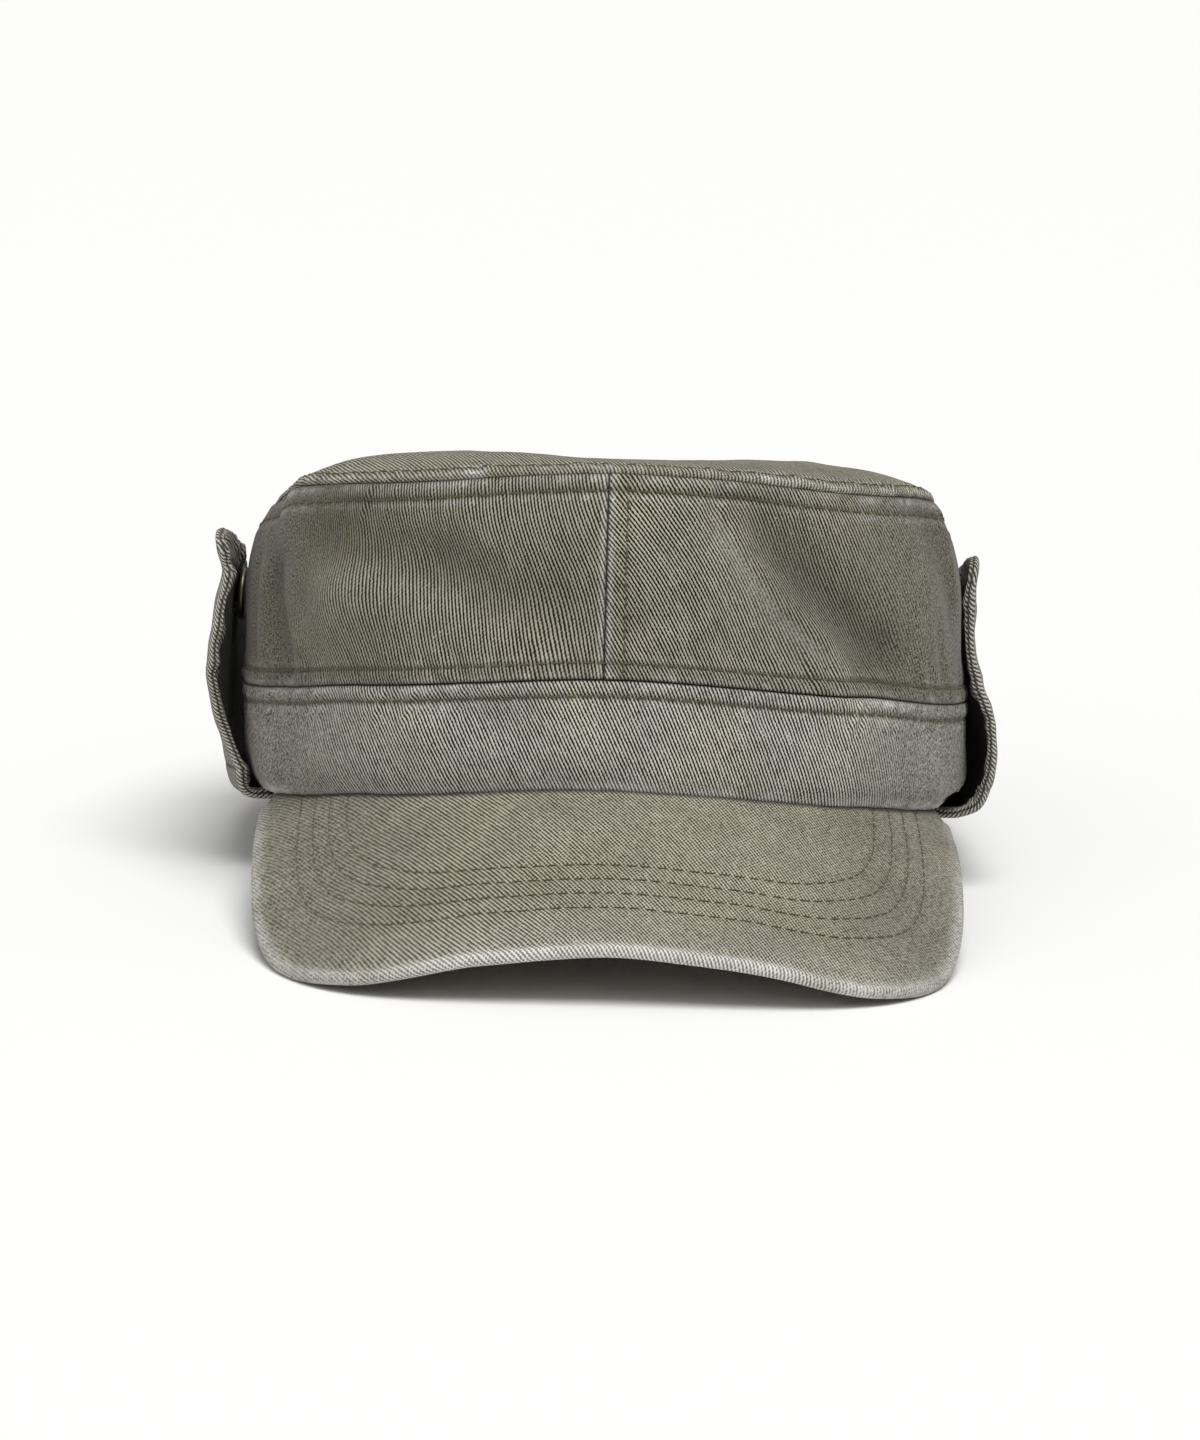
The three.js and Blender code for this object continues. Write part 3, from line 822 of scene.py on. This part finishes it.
def cotton_thread(name, colour):
    """Spun cotton sewing thread: matt and slightly linty."""
    material, tree = blank_material(name)
    place = add(tree, "ShaderNodeTexCoord").outputs["Object"]
    lint = add(tree, "ShaderNodeTexNoise", {
        "Vector": place, "Scale": LINT_PER_MM / MM, "Detail": 2.0}).outputs[0]
    shade = add(tree, "ShaderNodeMapRange", {"Value": lint, "To Min": 0.65, "To Max": 1.3}).outputs[0]
    tint = add(tree, "ShaderNodeVectorMath", {0: linear(colour)[:3], "Scale": shade},
               operation="SCALE").outputs[0]
    relief = add(tree, "ShaderNodeBump", {"Height": lint, "Strength": 0.6, "Distance": 0.1 * MM}).outputs[0]
    shader = add(tree, "ShaderNodeBsdfPrincipled", {
        "Base Color": tint, "Normal": relief, "Roughness": 0.85, "IOR": 1.45, "Sheen Weight": 0.1})
    add(tree, "ShaderNodeOutputMaterial", {"Surface": shader.outputs[0]})
    return material


def aged_brass(name):
    """Pressed brass with a brown tarnish in small clouds, duller where it is palest."""
    material, tree = blank_material(name)
    place = add(tree, "ShaderNodeTexCoord").outputs["Object"]
    spots = add(tree, "ShaderNodeTexNoise", {
        "Vector": place, "Scale": TARNISH_PER_MM / MM, "Detail": 5.0}).outputs[0]
    mixed = add(tree, "ShaderNodeMix", {0: spots, 6: linear(0x857662), 7: linear(0xCDBEA4)},
                data_type="RGBA")
    rough = add(tree, "ShaderNodeMapRange", {"Value": spots, "To Min": 0.28, "To Max": 0.6}).outputs[0]
    shader = add(tree, "ShaderNodeBsdfPrincipled", {
        "Base Color": mixed.outputs[2], "Metallic": 1.0, "Roughness": rough})
    add(tree, "ShaderNodeOutputMaterial", {"Surface": shader.outputs[0]})
    return material


def painted_floor():
    material = bpy.data.materials.new("matt_white_paint")
    material.use_nodes = True
    shader = material.node_tree.nodes["Principled BSDF"]
    shader.inputs["Base Color"].default_value = linear(0xFAFAF9)
    shader.inputs["Roughness"].default_value = 0.9
    return material


crown_left_twill = twill("washed_twill_crown_left", 0xAAA694, 0x211F17, 80, 1.0)
crown_right_twill = twill("washed_twill_crown_right", 0xB2AE9C, 0x19170F, 59, 2.0, crisp=3.6)
band_twill = twill("washed_twill_band", 0xCECCC1, 0x2E2C25, 66, 3.0)
top_twill = twill("washed_twill_top", 0xB0AB9A, 0x3A3628, 76, 4.0, crisp=1.6, beads=0.2)
peak_twill = twill("washed_twill_peak", 0xBCB7A4, 0x363226, 63.5, 5.0, crisp=2.2, beads=0.28)
flap_twill = twill("washed_twill_earflaps", 0xB2AFA4, 0x2C2A22, 40, 6.0, crisp=3.2)
olive_thread = cotton_thread("olive_cotton_thread", 0x575033)
brass = aged_brass("tarnished_brass")


# Pieces

# Where the crown's cloth was drawn out of square in sewing and wearing: place round and up, width,
# height, and how many mm the weave leans over there for each mm of height.
PULLS = (
    (-38, 54, 30, 9, 0.27),
    (-8, 54, 12, 14, 0.2),
    (-40, 46, 60, 30, -0.06),
    (-72, 34, 14, 9, 0.35),
    (10, 57, 18, 12, 0.22),
    (50, 66, 20, 6, -0.12),
    (52, 44, 12, 5, 0.28),
    (66, 35, 10, 8, 0.2),
)


def drawn_out(run, up):
    for pull_run, pull_up, width, height, lean in PULLS:
        pull = lean * height * np.tanh((up - pull_up) / height)
        run = run + pull * bell(run - pull_run, width)
    return run


SEAM_ROUND = 0.16              # how round a panel's edge is at a seam


def make_crown(side):
    deg, up = crown_grid(side)
    points, normal, marks = raised_wall(crown_relief, deg, up)
    cloth = np.stack([drawn_out(run_at(deg), up), up], -1)
    parts = shell(points, normal, WALL, cloth, marks, (SEAM_ROUND,) * 4)
    material = crown_right_twill if side > 0 else crown_left_twill
    cloth_piece(f"crown_panel_{side_name(side)}", parts, material, "twill", f"crown_{side_name(side)}")


def band_relief(deg, up):
    run = run_at(deg)
    base, level = wall_at(deg, up), level_at(deg, up)
    under = BAND_HEIGHT - up
    behind = BACK_RUN - np.abs(run)
    back_seam = np.exp(-behind / 0.5)
    height = fold_depth(deg, level, SMALL_FOLDS) + seam_relief(under, run, 41)
    height = height - crease_step(deg, level, TUCK, 2.0, 0.6, 4) - 1.1 * back_seam
    height = height + lumpy(base, BAND_LUMPS)
    height = height + 0.2 * noise_along(run, 4.5, 43) * bell(up - 2.5, 3)
    # The hem is worn pale in patches.
    hem = bell(up - 1.2, 1.5) * (0.65 + 0.5 * noise_along(run, 14, 45)) * (0.8 + 0.5 * pucker(run, 46))
    wear = seam_wear(under, run, 44) + 0.9 * hem
    # Painted shade: the band seam's crease, the back seam's groove and the sides, the left most, are
    # painted darker.
    soil_and_shade = seam_shade(under) + 0.9 * back_seam + 0.24 * ease(-run, 20, 90) + 0.1 * ease(run, 75, 110)
    return height, marked(wear, soil_and_shade, nap_at(run))


def make_band():
    deg = deg_at(np.linspace(-BACK_RUN, BACK_RUN, 740))
    fine = fine_steps(0.22, 0.45, 7.5)
    hem = np.concatenate([np.arange(1.0, 4, 0.5), np.arange(4, BAND_HEIGHT - 7.5, 1.1)])
    up = np.concatenate([hem, (BAND_HEIGHT - fine)[::-1]])
    deg, up = np.meshgrid(deg, up)
    points, normal, marks = raised_wall(band_relief, deg, up)
    cloth = np.stack([run_at(deg), up], -1)
    parts = shell(points, normal, WALL, cloth, marks, (1.0, SEAM_ROUND, 0, 0), wrap=True, steps=6)
    cloth_piece("headband", parts, band_twill, "twill", "band")


# Top panel: deg round it, inset from its edge

TOP_TURN = 1.25                # how far its border bends down to the crown
TOP_TURN_REAR = 0.95           # and how much farther at the sides and the rear
TOP_TURN_REACH = 1.8


def top_seam(deg):
    return on_wall(deg, np.full_like(deg, 2.0))


TOP_FRONT, TOP_BACK = top_seam(np.array(0.0)), top_seam(np.array(180.0))
TOP_CENTRE = (TOP_FRONT + TOP_BACK) / 2


def top_point(deg, share):
    """A point of the top panel, share of the way from its centre to its edge at deg."""
    centre, edge = TOP_CENTRE, top_seam(deg)
    fall = (TOP_BACK[2] - TOP_FRONT[2]) / (TOP_BACK[1] - TOP_FRONT[1])
    warp = edge[..., 2] - (centre[2] + fall * (edge[..., 1] - centre[1]))
    x = share * edge[..., 0]
    y = centre[1] + share * (edge[..., 1] - centre[1])
    dip = DIP_DEPTH * bell(x, DIP_WIDTH) * (1 - share**DIP_FULLNESS)
    height = DOME_HEIGHT * (1 - share**DOME_FULLNESS) - dip
    for swell_x, swell_y, width, rise in TOP_SWELLS:
        height = height + rise * bell(np.hypot(x - swell_x, y - swell_y), width)
    z = centre[2] + fall * (y - centre[1]) + warp * share**2 + height + SEAM_GAP + TOP_THICKNESS
    return np.stack(np.broadcast_arrays(x, y, z), -1)


def top_radius(deg):
    edge = top_seam(deg)
    return np.hypot(edge[..., 0], edge[..., 1] - TOP_CENTRE[1])


def top_share(deg, inset):
    return 1 - inset / top_radius(deg)


def top_relief(deg, share):
    base = top_point(deg, share)
    inset = (1 - share) * top_radius(deg)
    run = run_at(deg)
    height = seam_relief(inset, run, 51, 0.6) * ease(share, 0, 0.5)
    height = height + lumpy(base, TOP_LUMPS) * ease(inset, 0, 14)
    turn = TOP_TURN + TOP_TURN_REAR * ease(np.abs(deg), 40, 115)
    height = height - turn * np.exp(-inset / TOP_TURN_REACH)
    # Painted shade darkens the seam's crease and the groove of its stitching.
    return height, marked(seam_wear(inset, run, 55), seam_shade(inset), 0 * height)


def make_top():
    deg = deg_at(np.linspace(-BACK_RUN, BACK_RUN, 481))[::-1]
    fine = [np.arange(0.35, 2, 0.22), np.arange(2, 7.5, 0.45)]
    inset = np.concatenate([*fine, np.linspace(7.5, 74, 44)])[::-1]
    deg, inset = np.meshgrid(deg, inset)
    share = top_share(deg, inset)
    share = np.vstack([np.zeros((1, share.shape[1])), share])
    deg = np.vstack([deg[:1], deg])
    height, marks = top_relief(deg, share)
    normal = -facing(top_point, deg, np.maximum(share, 0.01), 0.2, 0.002)
    normal[0] = unit(normal[0].mean(0))
    height[0] = height[0].mean()
    points = top_point(deg, share) + normal * height[..., None]
    cloth = top_point(deg, share)[..., :2]
    # Its edge is thin, and behind that its turned-in seam allowance rests on the crown.
    inset = (1 - share) * top_radius(deg)
    thickness = TOP_THICKNESS - 1.2 * np.exp(-inset) + 2.0 * bell(inset - 1.15, 0.6)
    parts = shell(points, normal, thickness, cloth, marks, (0, 0.5, 0, 0), wrap=True, pole=True, steps=6)
    cloth_piece("crown_top", parts, top_twill, "twill", "top_panel")


# Peak: turn in degrees round its outline, inwards from 0 at the outline to 1 at the root

def peak_point(turn, inwards):
    across, ahead = np.sin(np.radians(turn)), np.cos(np.radians(turn))
    reach = superellipse(across, ahead, PEAK_HALF, PEAK_LENGTH, PEAK_SQUARENESS)
    edge = np.stack(np.broadcast_arrays(
        reach * across,
        RING_CENTRE_Y - PEAK_START - reach * ahead,
        along(PEAK_EDGE, "height", np.abs(turn), True),
    ), -1)
    root = on_wall(turn / 90 * PEAK_END_DEG, np.zeros_like(turn), -WALL / 2)
    root = root + np.array([0, 0, PEAK_TUCK])
    return edge + inwards[..., None] * (root - edge)


PEAK_TURNS = np.linspace(-90, 90, 721)
PEAK_OUTLINE = peak_point(PEAK_TURNS, np.zeros_like(PEAK_TURNS))


def edge_distance(points):
    """Distance in plan from the peak's outline."""
    flat = points.reshape(-1, 3)[:, :2]
    found = np.concatenate([
        np.linalg.norm(part[:, None] - PEAK_OUTLINE[None, :, :2], axis=-1).min(1)
        for part in np.array_split(flat, max(len(flat) // 4000, 1))
    ])
    return found.reshape(points.shape[:-1])


# The peak's stitch rows are squarish ovals, straight where they run back under the band: half width,
# distance from the front edge and squareness.
PEAK_ROWS = (
    (60, 33.5, 2.95),
    (64, 27.8, 3.05),
    (67.5, 22.1, 3.2),
    (71, 16.2, 3.4),
)
PEAK_ROW_MIDDLE = 0.5
PEAK_ROW_BACK = 87.5           # from the front edge to where the rows turn straight
PEAK_ROW_RUN = 22              # and how far back they run from there


def peak_row(half, front, squareness, count=400):
    """Plan of a stitch row, from its left end to its right end."""
    turn = np.radians(np.linspace(-90, 90, count))
    back = PEAK_OUTLINE[:, 1].min() + PEAK_ROW_BACK
    across, ahead = np.sin(turn), np.cos(turn)
    reach = superellipse(across, ahead, half, PEAK_ROW_BACK - front, squareness)
    straight = np.linspace(PEAK_ROW_RUN, 0.3, count // 8)
    x = np.concatenate([np.full_like(straight, reach[0] * across[0]), reach * across,
                        np.full_like(straight, reach[-1] * across[-1])])
    y = np.concatenate([straight, -reach * ahead, straight[::-1]])
    return PEAK_ROW_MIDDLE + x, back + y


def peak_place(x, y):
    """The turn and inwards of points of the peak that are given in plan: a near guess, then refined."""
    turns, inward = np.meshgrid(np.linspace(-89, 89, 179), np.linspace(0.02, 0.98, 60))
    grid = peak_point(turns, inward)
    near = np.array([np.argmin((grid[..., 0] - a) ** 2 + (grid[..., 1] - b) ** 2) for a, b in zip(x, y)])
    turn, inwards = turns.ravel()[near], inward.ravel()[near]
    for _ in range(6):
        here = peak_point(turn, inwards)
        by_turn = (peak_point(turn + 0.1, inwards) - here) / 0.1
        by_inward = (peak_point(turn, inwards + 0.001) - here) / 0.001
        off_x, off_y = x - here[:, 0], y - here[:, 1]
        area = by_turn[:, 0] * by_inward[:, 1] - by_turn[:, 1] * by_inward[:, 0]
        turn = np.clip(turn + (off_x * by_inward[:, 1] - off_y * by_inward[:, 0]) / area, -90, 90)
        inwards = np.clip(inwards + (by_turn[:, 0] * off_y - by_turn[:, 1] * off_x) / area, 0, 1)
    return turn, inwards


def peak_relief(turn, inwards):
    base = peak_point(turn, inwards)
    inset = edge_distance(base)
    height = lumpy(base, PEAK_LUMPS) - 0.25 * bell(inset - 2.6, 1.2)
    sewn = np.zeros_like(inset)
    for row in PEAK_ROWS:
        row_x, row_y = peak_row(*row, count=240)
        away = np.min(np.hypot(base[..., 0, None] - row_x, base[..., 1, None] - row_y), axis=-1)
        sewn = sewn + bell(away, 0.7)
    height = height - 0.12 * sewn
    # Its edge is worn palest in front. Painted shade darkens its ends and its stitch rows, and a painted
    # shadow darkens its root under the band's hem.
    front = bell(turn, 62) * 0.75 + 0.25
    patchy = 0.85 + 0.3 * noise(base, 9, 63)
    wear = (bell(inset - 0.4, 1.9) * 1.25 + 0.12 * ease(inset, 22, 4)) * front * patchy
    from_root = np.linalg.norm(base - peak_point(turn, np.ones_like(inwards)), axis=-1)
    aside = base[..., 0]
    soil_and_shade = 0.08 * sewn + 0.95 * ease(from_root, 3.0, 1.2)
    soil_and_shade = soil_and_shade + 0.2 * ease(-aside, 20, 62) + 0.14 * ease(aside, 30, 66)
    return height, marked(wear, soil_and_shade, 0.1 + 0.55 * ease(np.abs(aside), 32, 70))


def make_peak():
    turn = np.interp(np.linspace(0, 1, 400), [0, 0.28, 0.72, 1], [-90, -48, 48, 90])
    inwards = np.concatenate([np.linspace(0.02, 0.14, 14), np.linspace(0.15, 1, 96)])
    turn, inwards = np.meshgrid(turn, inwards)
    points, normal, marks = raised(peak_point, peak_relief, turn, inwards, 0.2, 0.004)
    # Measured over the peak's curve, a hand's breadth in from its edge.
    middle = peak_point(PEAK_TURNS, np.full_like(PEAK_TURNS, 0.45))
    over = lengths_along(middle[:, [0, 2]])
    over = over - np.interp(0, middle[:, 0], over)
    beyond = np.clip(points[..., 0], middle[0, 0], middle[-1, 0])
    across = np.interp(beyond, middle[:, 0], over) + points[..., 0] - beyond
    # Its weave leans over more towards the root and to the left.
    ahead = 1.1 * points[..., 1] - 0.2 * np.maximum(points[..., 1] + 40, 0)
    cloth = np.stack([across, ahead * (1 - 0.1 * ease(-across, 8, 60))], -1)
    parts = shell(points, normal, PEAK_THICKNESS, cloth, marks, (1.0, 0.1, 0.6, 0.6), steps=8)
    cloth_piece("peak_cover", parts, peak_twill, "peak_twill", "peak")


# Earflaps

def flap_point(side, share, rise):
    """Share runs from its front edge to its rear edge, rise from its foot over its bend to its top."""
    label = side_name(side)
    deg = side * (FLAP_FRONT_DEG + share * (FLAP_REAR_DEG - FLAP_FRONT_DEG))
    height = along(FLAP_OUTLINE, label, share)
    close = ease(share, 0, FLARE_LENGTH)
    rear = REAR_FLARE * ease(share, REAR_FLARE_START, 1)

    def out_at(up):
        at_edge, near = along(FLAP_GAP, label, up), along(FLAP_GAP, f"{label}_close", up)
        gap = at_edge + close * (near - at_edge)
        return plain_reach(deg, level_at(deg, up)) - plain_reach(deg, np.zeros_like(deg)) + gap + rear

    bend = (rise - FOOT_SHARE) / (BEND_SHARE - FOOT_SHARE)
    up_high = BEND_TOP + (rise - BEND_SHARE) / (1 - BEND_SHARE) * (height - BEND_TOP)
    bend_out = FOOT_LENGTH + (1 - (1 - bend) ** 2) * (out_at(np.full_like(deg, BEND_TOP)) - FOOT_LENGTH)
    bend_up = FOOT_UP + bend**2 * (BEND_TOP - FOOT_UP)
    foot_out = -FOOT_INSET + rise / FOOT_SHARE * (FOOT_LENGTH + FOOT_INSET)
    in_foot, in_bend = rise < FOOT_SHARE, rise < BEND_SHARE
    out = np.where(in_foot, foot_out, np.where(in_bend, bend_out, out_at(up_high)))
    up = np.where(in_foot, FOOT_UP, np.where(in_bend, bend_up, up_high))
    return on_wall(deg, np.zeros_like(deg), out, up)


FLAP_CORE = 1.6                # thickness inside the hem
FLAP_HEM = 2.2                 # thickness of the rolled hem
FLAP_MIDDLE = 1.3              # from the surface above to the middle of the cloth


def make_flap(side):
    label = side_name(side)
    share = np.linspace(0.018, 1 - 0.018, 110)[::side]
    bend = [np.linspace(0, 0.08, 5), np.linspace(0.1, BEND_SHARE, 26)]
    rise = np.concatenate([*bend, np.linspace(0.375, 0.975, 74)])
    share, rise = np.meshgrid(share, rise)
    face = flap_point(side, share, rise)

    def surface(a, b):
        return flap_point(side, a if side > 0 else 1 - a, b)

    normal = facing(surface, share if side > 0 else 1 - share, rise, 0.002, 0.003)
    arc = (FLAP_REAR_DEG - FLAP_FRONT_DEG) * ARC_PER_DEGREE
    height = along(FLAP_OUTLINE, label, share) + BEND_TOP
    rim = np.minimum(np.minimum(share, 1 - share) * arc, (1 - rise) * height)
    body = FLAP_CORE + (FLAP_HEM - FLAP_CORE) * ease(rim, HEM_STITCH + 1.5, HEM_STITCH - 1.5)
    centre = face + normal * FLAP_MIDDLE
    # On the inner face the hem's turned edge is gathered by its stitches.
    thickness = body + (0.4 + 1.1 * noise(centre, 2.6, 74)) * bell(rim - 3, 1.7)
    lift = body / 2 + lumpy(centre, FLAP_LUMPS) - 0.3 * bell(rim - HEM_STITCH, 0.7)
    outer = centre + normal * lift[..., None]
    wear = 0.8 * bell(rim, 1.6) * (0.8 + 0.4 * noise(centre, 8, 73))
    # Painted shade darkens the groove of the hem's stitching.
    marks = marked(wear, 0.35 * bell(rim - HEM_STITCH, 0.6), 0 * rim)
    # The inner face is painted dark as painted shade, least at the tip and on the hem, where it shows.
    inner_painted_shade = (0.35 + 0.65 * ease(rise, 0.95, 0.75)) * (0.1 + 0.9 * ease(rim, 4, 7))
    run = np.cumsum(np.linalg.norm(np.diff(face, axis=0, prepend=face[:1]), axis=-1), axis=0)
    cloth = np.stack([share * arc * side, run], -1)
    parts = shell(outer, normal, thickness, cloth, marks, (0.2, 1.0, 1.0, 1.0), steps=14, groove=0.45,
                  bound=True, inner_painted_shade=inner_painted_shade)
    cloth_piece(f"earflap_cloth_{label}", parts, flap_twill, "twill", f"earflap_{label}")


# Press snaps

def snap_seat(side):
    deg, up = np.array(side * float(SNAP_DEG)), np.array(float(SNAP_UP))
    return wall_at(deg, up), facing(wall_at, deg, up, 4, 6)


def turned(name, side, profile, node):
    """A brass piece turned on the snap's axis; its profile gives radius and distance over the wall."""
    centre, axis = snap_seat(side)
    sides = 56
    beside = unit(np.cross(axis, (0.0, 0.0, 1.0)))
    above = np.cross(beside, axis)
    angle = np.arange(sides) * 2 * math.pi / sides
    radius, over = np.array(profile).T
    spokes = np.cos(angle)[:, None] * beside + np.sin(angle)[:, None] * above
    points = centre + over[:, None, None] * axis + radius[:, None, None] * spokes
    index = np.arange(points.shape[0] * sides).reshape(-1, sides)
    beyond = np.roll(index, -1, axis=1)
    quads = np.stack([index[:-1], beyond[:-1], beyond[1:], index[1:]], -1).reshape(-1, 4).tolist()
    ends = [index[0, ::-1].tolist(), index[-1].tolist()]
    make_piece(name, points.reshape(-1, 3), quads + ends, brass, "aged_brass", node)


def make_snap(side):
    label = side_name(side)
    turned(f"stud_{label}", side, [
        (0.2, -3.4), (4.2, -3.4), (4.5, -3.25), (4.6, -2.95), (4.5, -2.65), (4.2, -2.5), (2, -2.5),
        (2, 0.5), (4.6, 0.5), (4.9, 0.62), (5, 0.85), (4.9, 1.1), (4.6, 1.22), (2.7, 1.3), (2.3, 1.5),
        (2.2, 1.8), (2.35, 2.1), (2.2, 2.33), (1.8, 2.4), (0.2, 2.4),
    ], f"snap_stud_{label}")
    centre, axis = snap_seat(side)
    share = (SNAP_DEG - FLAP_FRONT_DEG) / (FLAP_REAR_DEG - FLAP_FRONT_DEG)
    face = flap_point(side, np.full(3, share), np.array([0.8, 0.85, 0.9]))
    inner = float(((face - centre) @ axis).min())
    back = inner - 0.3
    turned(f"socket_{label}", side, [
        (0.2, back - 0.3), (2.4, back - 0.3), (2.65, back - 0.5), (2.7, back - 1.2), (2.9, back - 1.5),
        (3.4, back - 1.6), (5.5, back - 1.55), (5.95, back - 1.4), (6.2, back - 1.1), (6.25, back - 0.7),
        (6.15, back - 0.25), (5.8, back), (2, back), (2, inner + 1), (0.2, inner + 1),
    ], f"snap_socket_{label}")


for side in (-1, 1):
    make_crown(side)
    make_flap(side)
    make_snap(side)
make_band()
make_top()
make_peak()


# Topstitching

def sew_wall(thread, deg, up, relief, seed):
    points, normal, _ = raised_wall(relief, deg, up + 0 * deg)
    thread.sew(points, normal, seed)


def sew_upright(thread, run, seed):
    up = np.linspace(BAND_HEIGHT + 1.5, rise_at(deg_at(run)) - 1.5, 200)
    sew_wall(thread, np.full_like(up, deg_at(run)), up, crown_relief, seed)


thread = Thread()
round_cap = np.linspace(1, BACK_RUN - 1, 1600)
for side in (-1, 1):
    deg = deg_at(side * round_cap)
    sew_wall(thread, deg, BAND_HEIGHT + SEAM_GAP + STITCH_ROW, crown_relief, 81)
    sew_wall(thread, deg, rise_at(deg) - STITCH_ROW, crown_relief, 82)
    sew_wall(thread, deg, BAND_HEIGHT - STITCH_ROW, band_relief, 83)
    share = top_share(deg, STITCH_ROW)
    height, _ = top_relief(deg, share)
    normal = facing(top_point, deg, share, 0.2, -0.002)
    thread.sew(top_point(deg, share) + normal * height[:, None], normal, 84)

sew_upright(thread, FRONT_SEAM + CENTRE_ROW, 85)
for side in (-1, 1):
    sew_upright(thread, side * (BACK_RUN - STITCH_ROW), 86)
thread.piece("topstitching", "twill")

peak_thread = Thread()
for k, row in enumerate(PEAK_ROWS):
    turn, inwards = peak_place(*peak_row(*row))
    seen = inwards < 0.96
    points, normal, _ = raised(peak_point, peak_relief, turn[seen], inwards[seen], 0.2, 0.004)
    # They are sunk into the softer cloth at the left.
    points = points - normal * (0.12 * ease(-points[:, 0], 50, 62))[:, None]
    peak_thread.sew(points, normal, 91 + k, stitch=2.7, gap=0.7, thick=0.3, lift=0.09)
peak_thread.piece("peak_stitching", "peak_twill")


# Floor, light and camera

FLOOR_REACH = 30000.0
floor_corners = np.array([(-1, -1, 0), (1, -1, 0), (1, 1, 0), (-1, 1, 0)]) * FLOOR_REACH
floor = mesh_object("floor", floor_corners, [(0, 1, 2, 3)], painted_floor())


def direction(rise, side):
    """The way to a place rise degrees above the floor and side degrees right of the front."""
    rise, side = math.radians(rise), math.radians(side)
    return Vector((math.sin(side) * math.cos(rise), -math.cos(side) * math.cos(rise), math.sin(rise)))


def far_light(name, rise, side, spread, strength):
    """A large, distant soft light that looks spread degrees wide from the cap."""
    data = bpy.data.lights.new(name, "SUN")
    data.angle = math.radians(spread)
    data.energy = strength
    lamp = bpy.data.objects.new(name, data)
    lamp.location = direction(rise, side)
    lamp.rotation_euler = lamp.location.to_track_quat("Z", "Y").to_euler()
    bpy.context.collection.objects.link(lamp)


far_light("soft_key", 66, 24, 40, 2.4)
far_light("soft_fill", 30, -30, 60, 0.45)

world = bpy.data.worlds.new("studio")
world.use_nodes = True
sky = world.node_tree.nodes["Background"]
sky.inputs["Color"].default_value = (1, 1, 1, 1)
sky.inputs["Strength"].default_value = 0.3
bpy.context.scene.world = world

# The photograph was taken from 10 degrees above the floor, nearly head on, and is rolled a little.
CAMERA_RISE = 10
CAMERA_SIDE = -1.1
CAMERA_ROLL = math.radians(1.7)
CAMERA_DISTANCE = 1.3
CAMERA_AIM = Vector((0, 29.5, 45)) * MM
PHOTO_SIZE = (1200, 1440)
AIM_PIXEL = (606, 670)         # where the photograph shows the point that the camera is aimed at
PIXELS_PER_MM = 4.14           # there
SENSOR = 36.0


def place_camera():
    back = direction(CAMERA_RISE, CAMERA_SIDE)
    level_right = direction(0, CAMERA_SIDE + 90)
    level_up = back.cross(level_right)
    right = level_right * math.cos(CAMERA_ROLL) + level_up * math.sin(CAMERA_ROLL)
    up = level_up * math.cos(CAMERA_ROLL) - level_right * math.sin(CAMERA_ROLL)
    data = bpy.data.cameras.new("camera")
    data.sensor_width = SENSOR
    data.lens = PIXELS_PER_MM * CAMERA_DISTANCE / MM * SENSOR / PHOTO_SIZE[1]
    data.shift_x = (PHOTO_SIZE[0] / 2 - AIM_PIXEL[0]) / PHOTO_SIZE[1]
    data.shift_y = (AIM_PIXEL[1] - PHOTO_SIZE[1] / 2) / PHOTO_SIZE[1]
    camera = bpy.data.objects.new("camera", data)
    turn = Matrix((right, up, back)).transposed().to_4x4()
    camera.matrix_world = Matrix.Translation(CAMERA_AIM + back * CAMERA_DISTANCE) @ turn
    bpy.context.collection.objects.link(camera)
    bpy.context.scene.camera = camera


place_camera()
bpy.context.scene.view_settings.view_transform = "Standard"
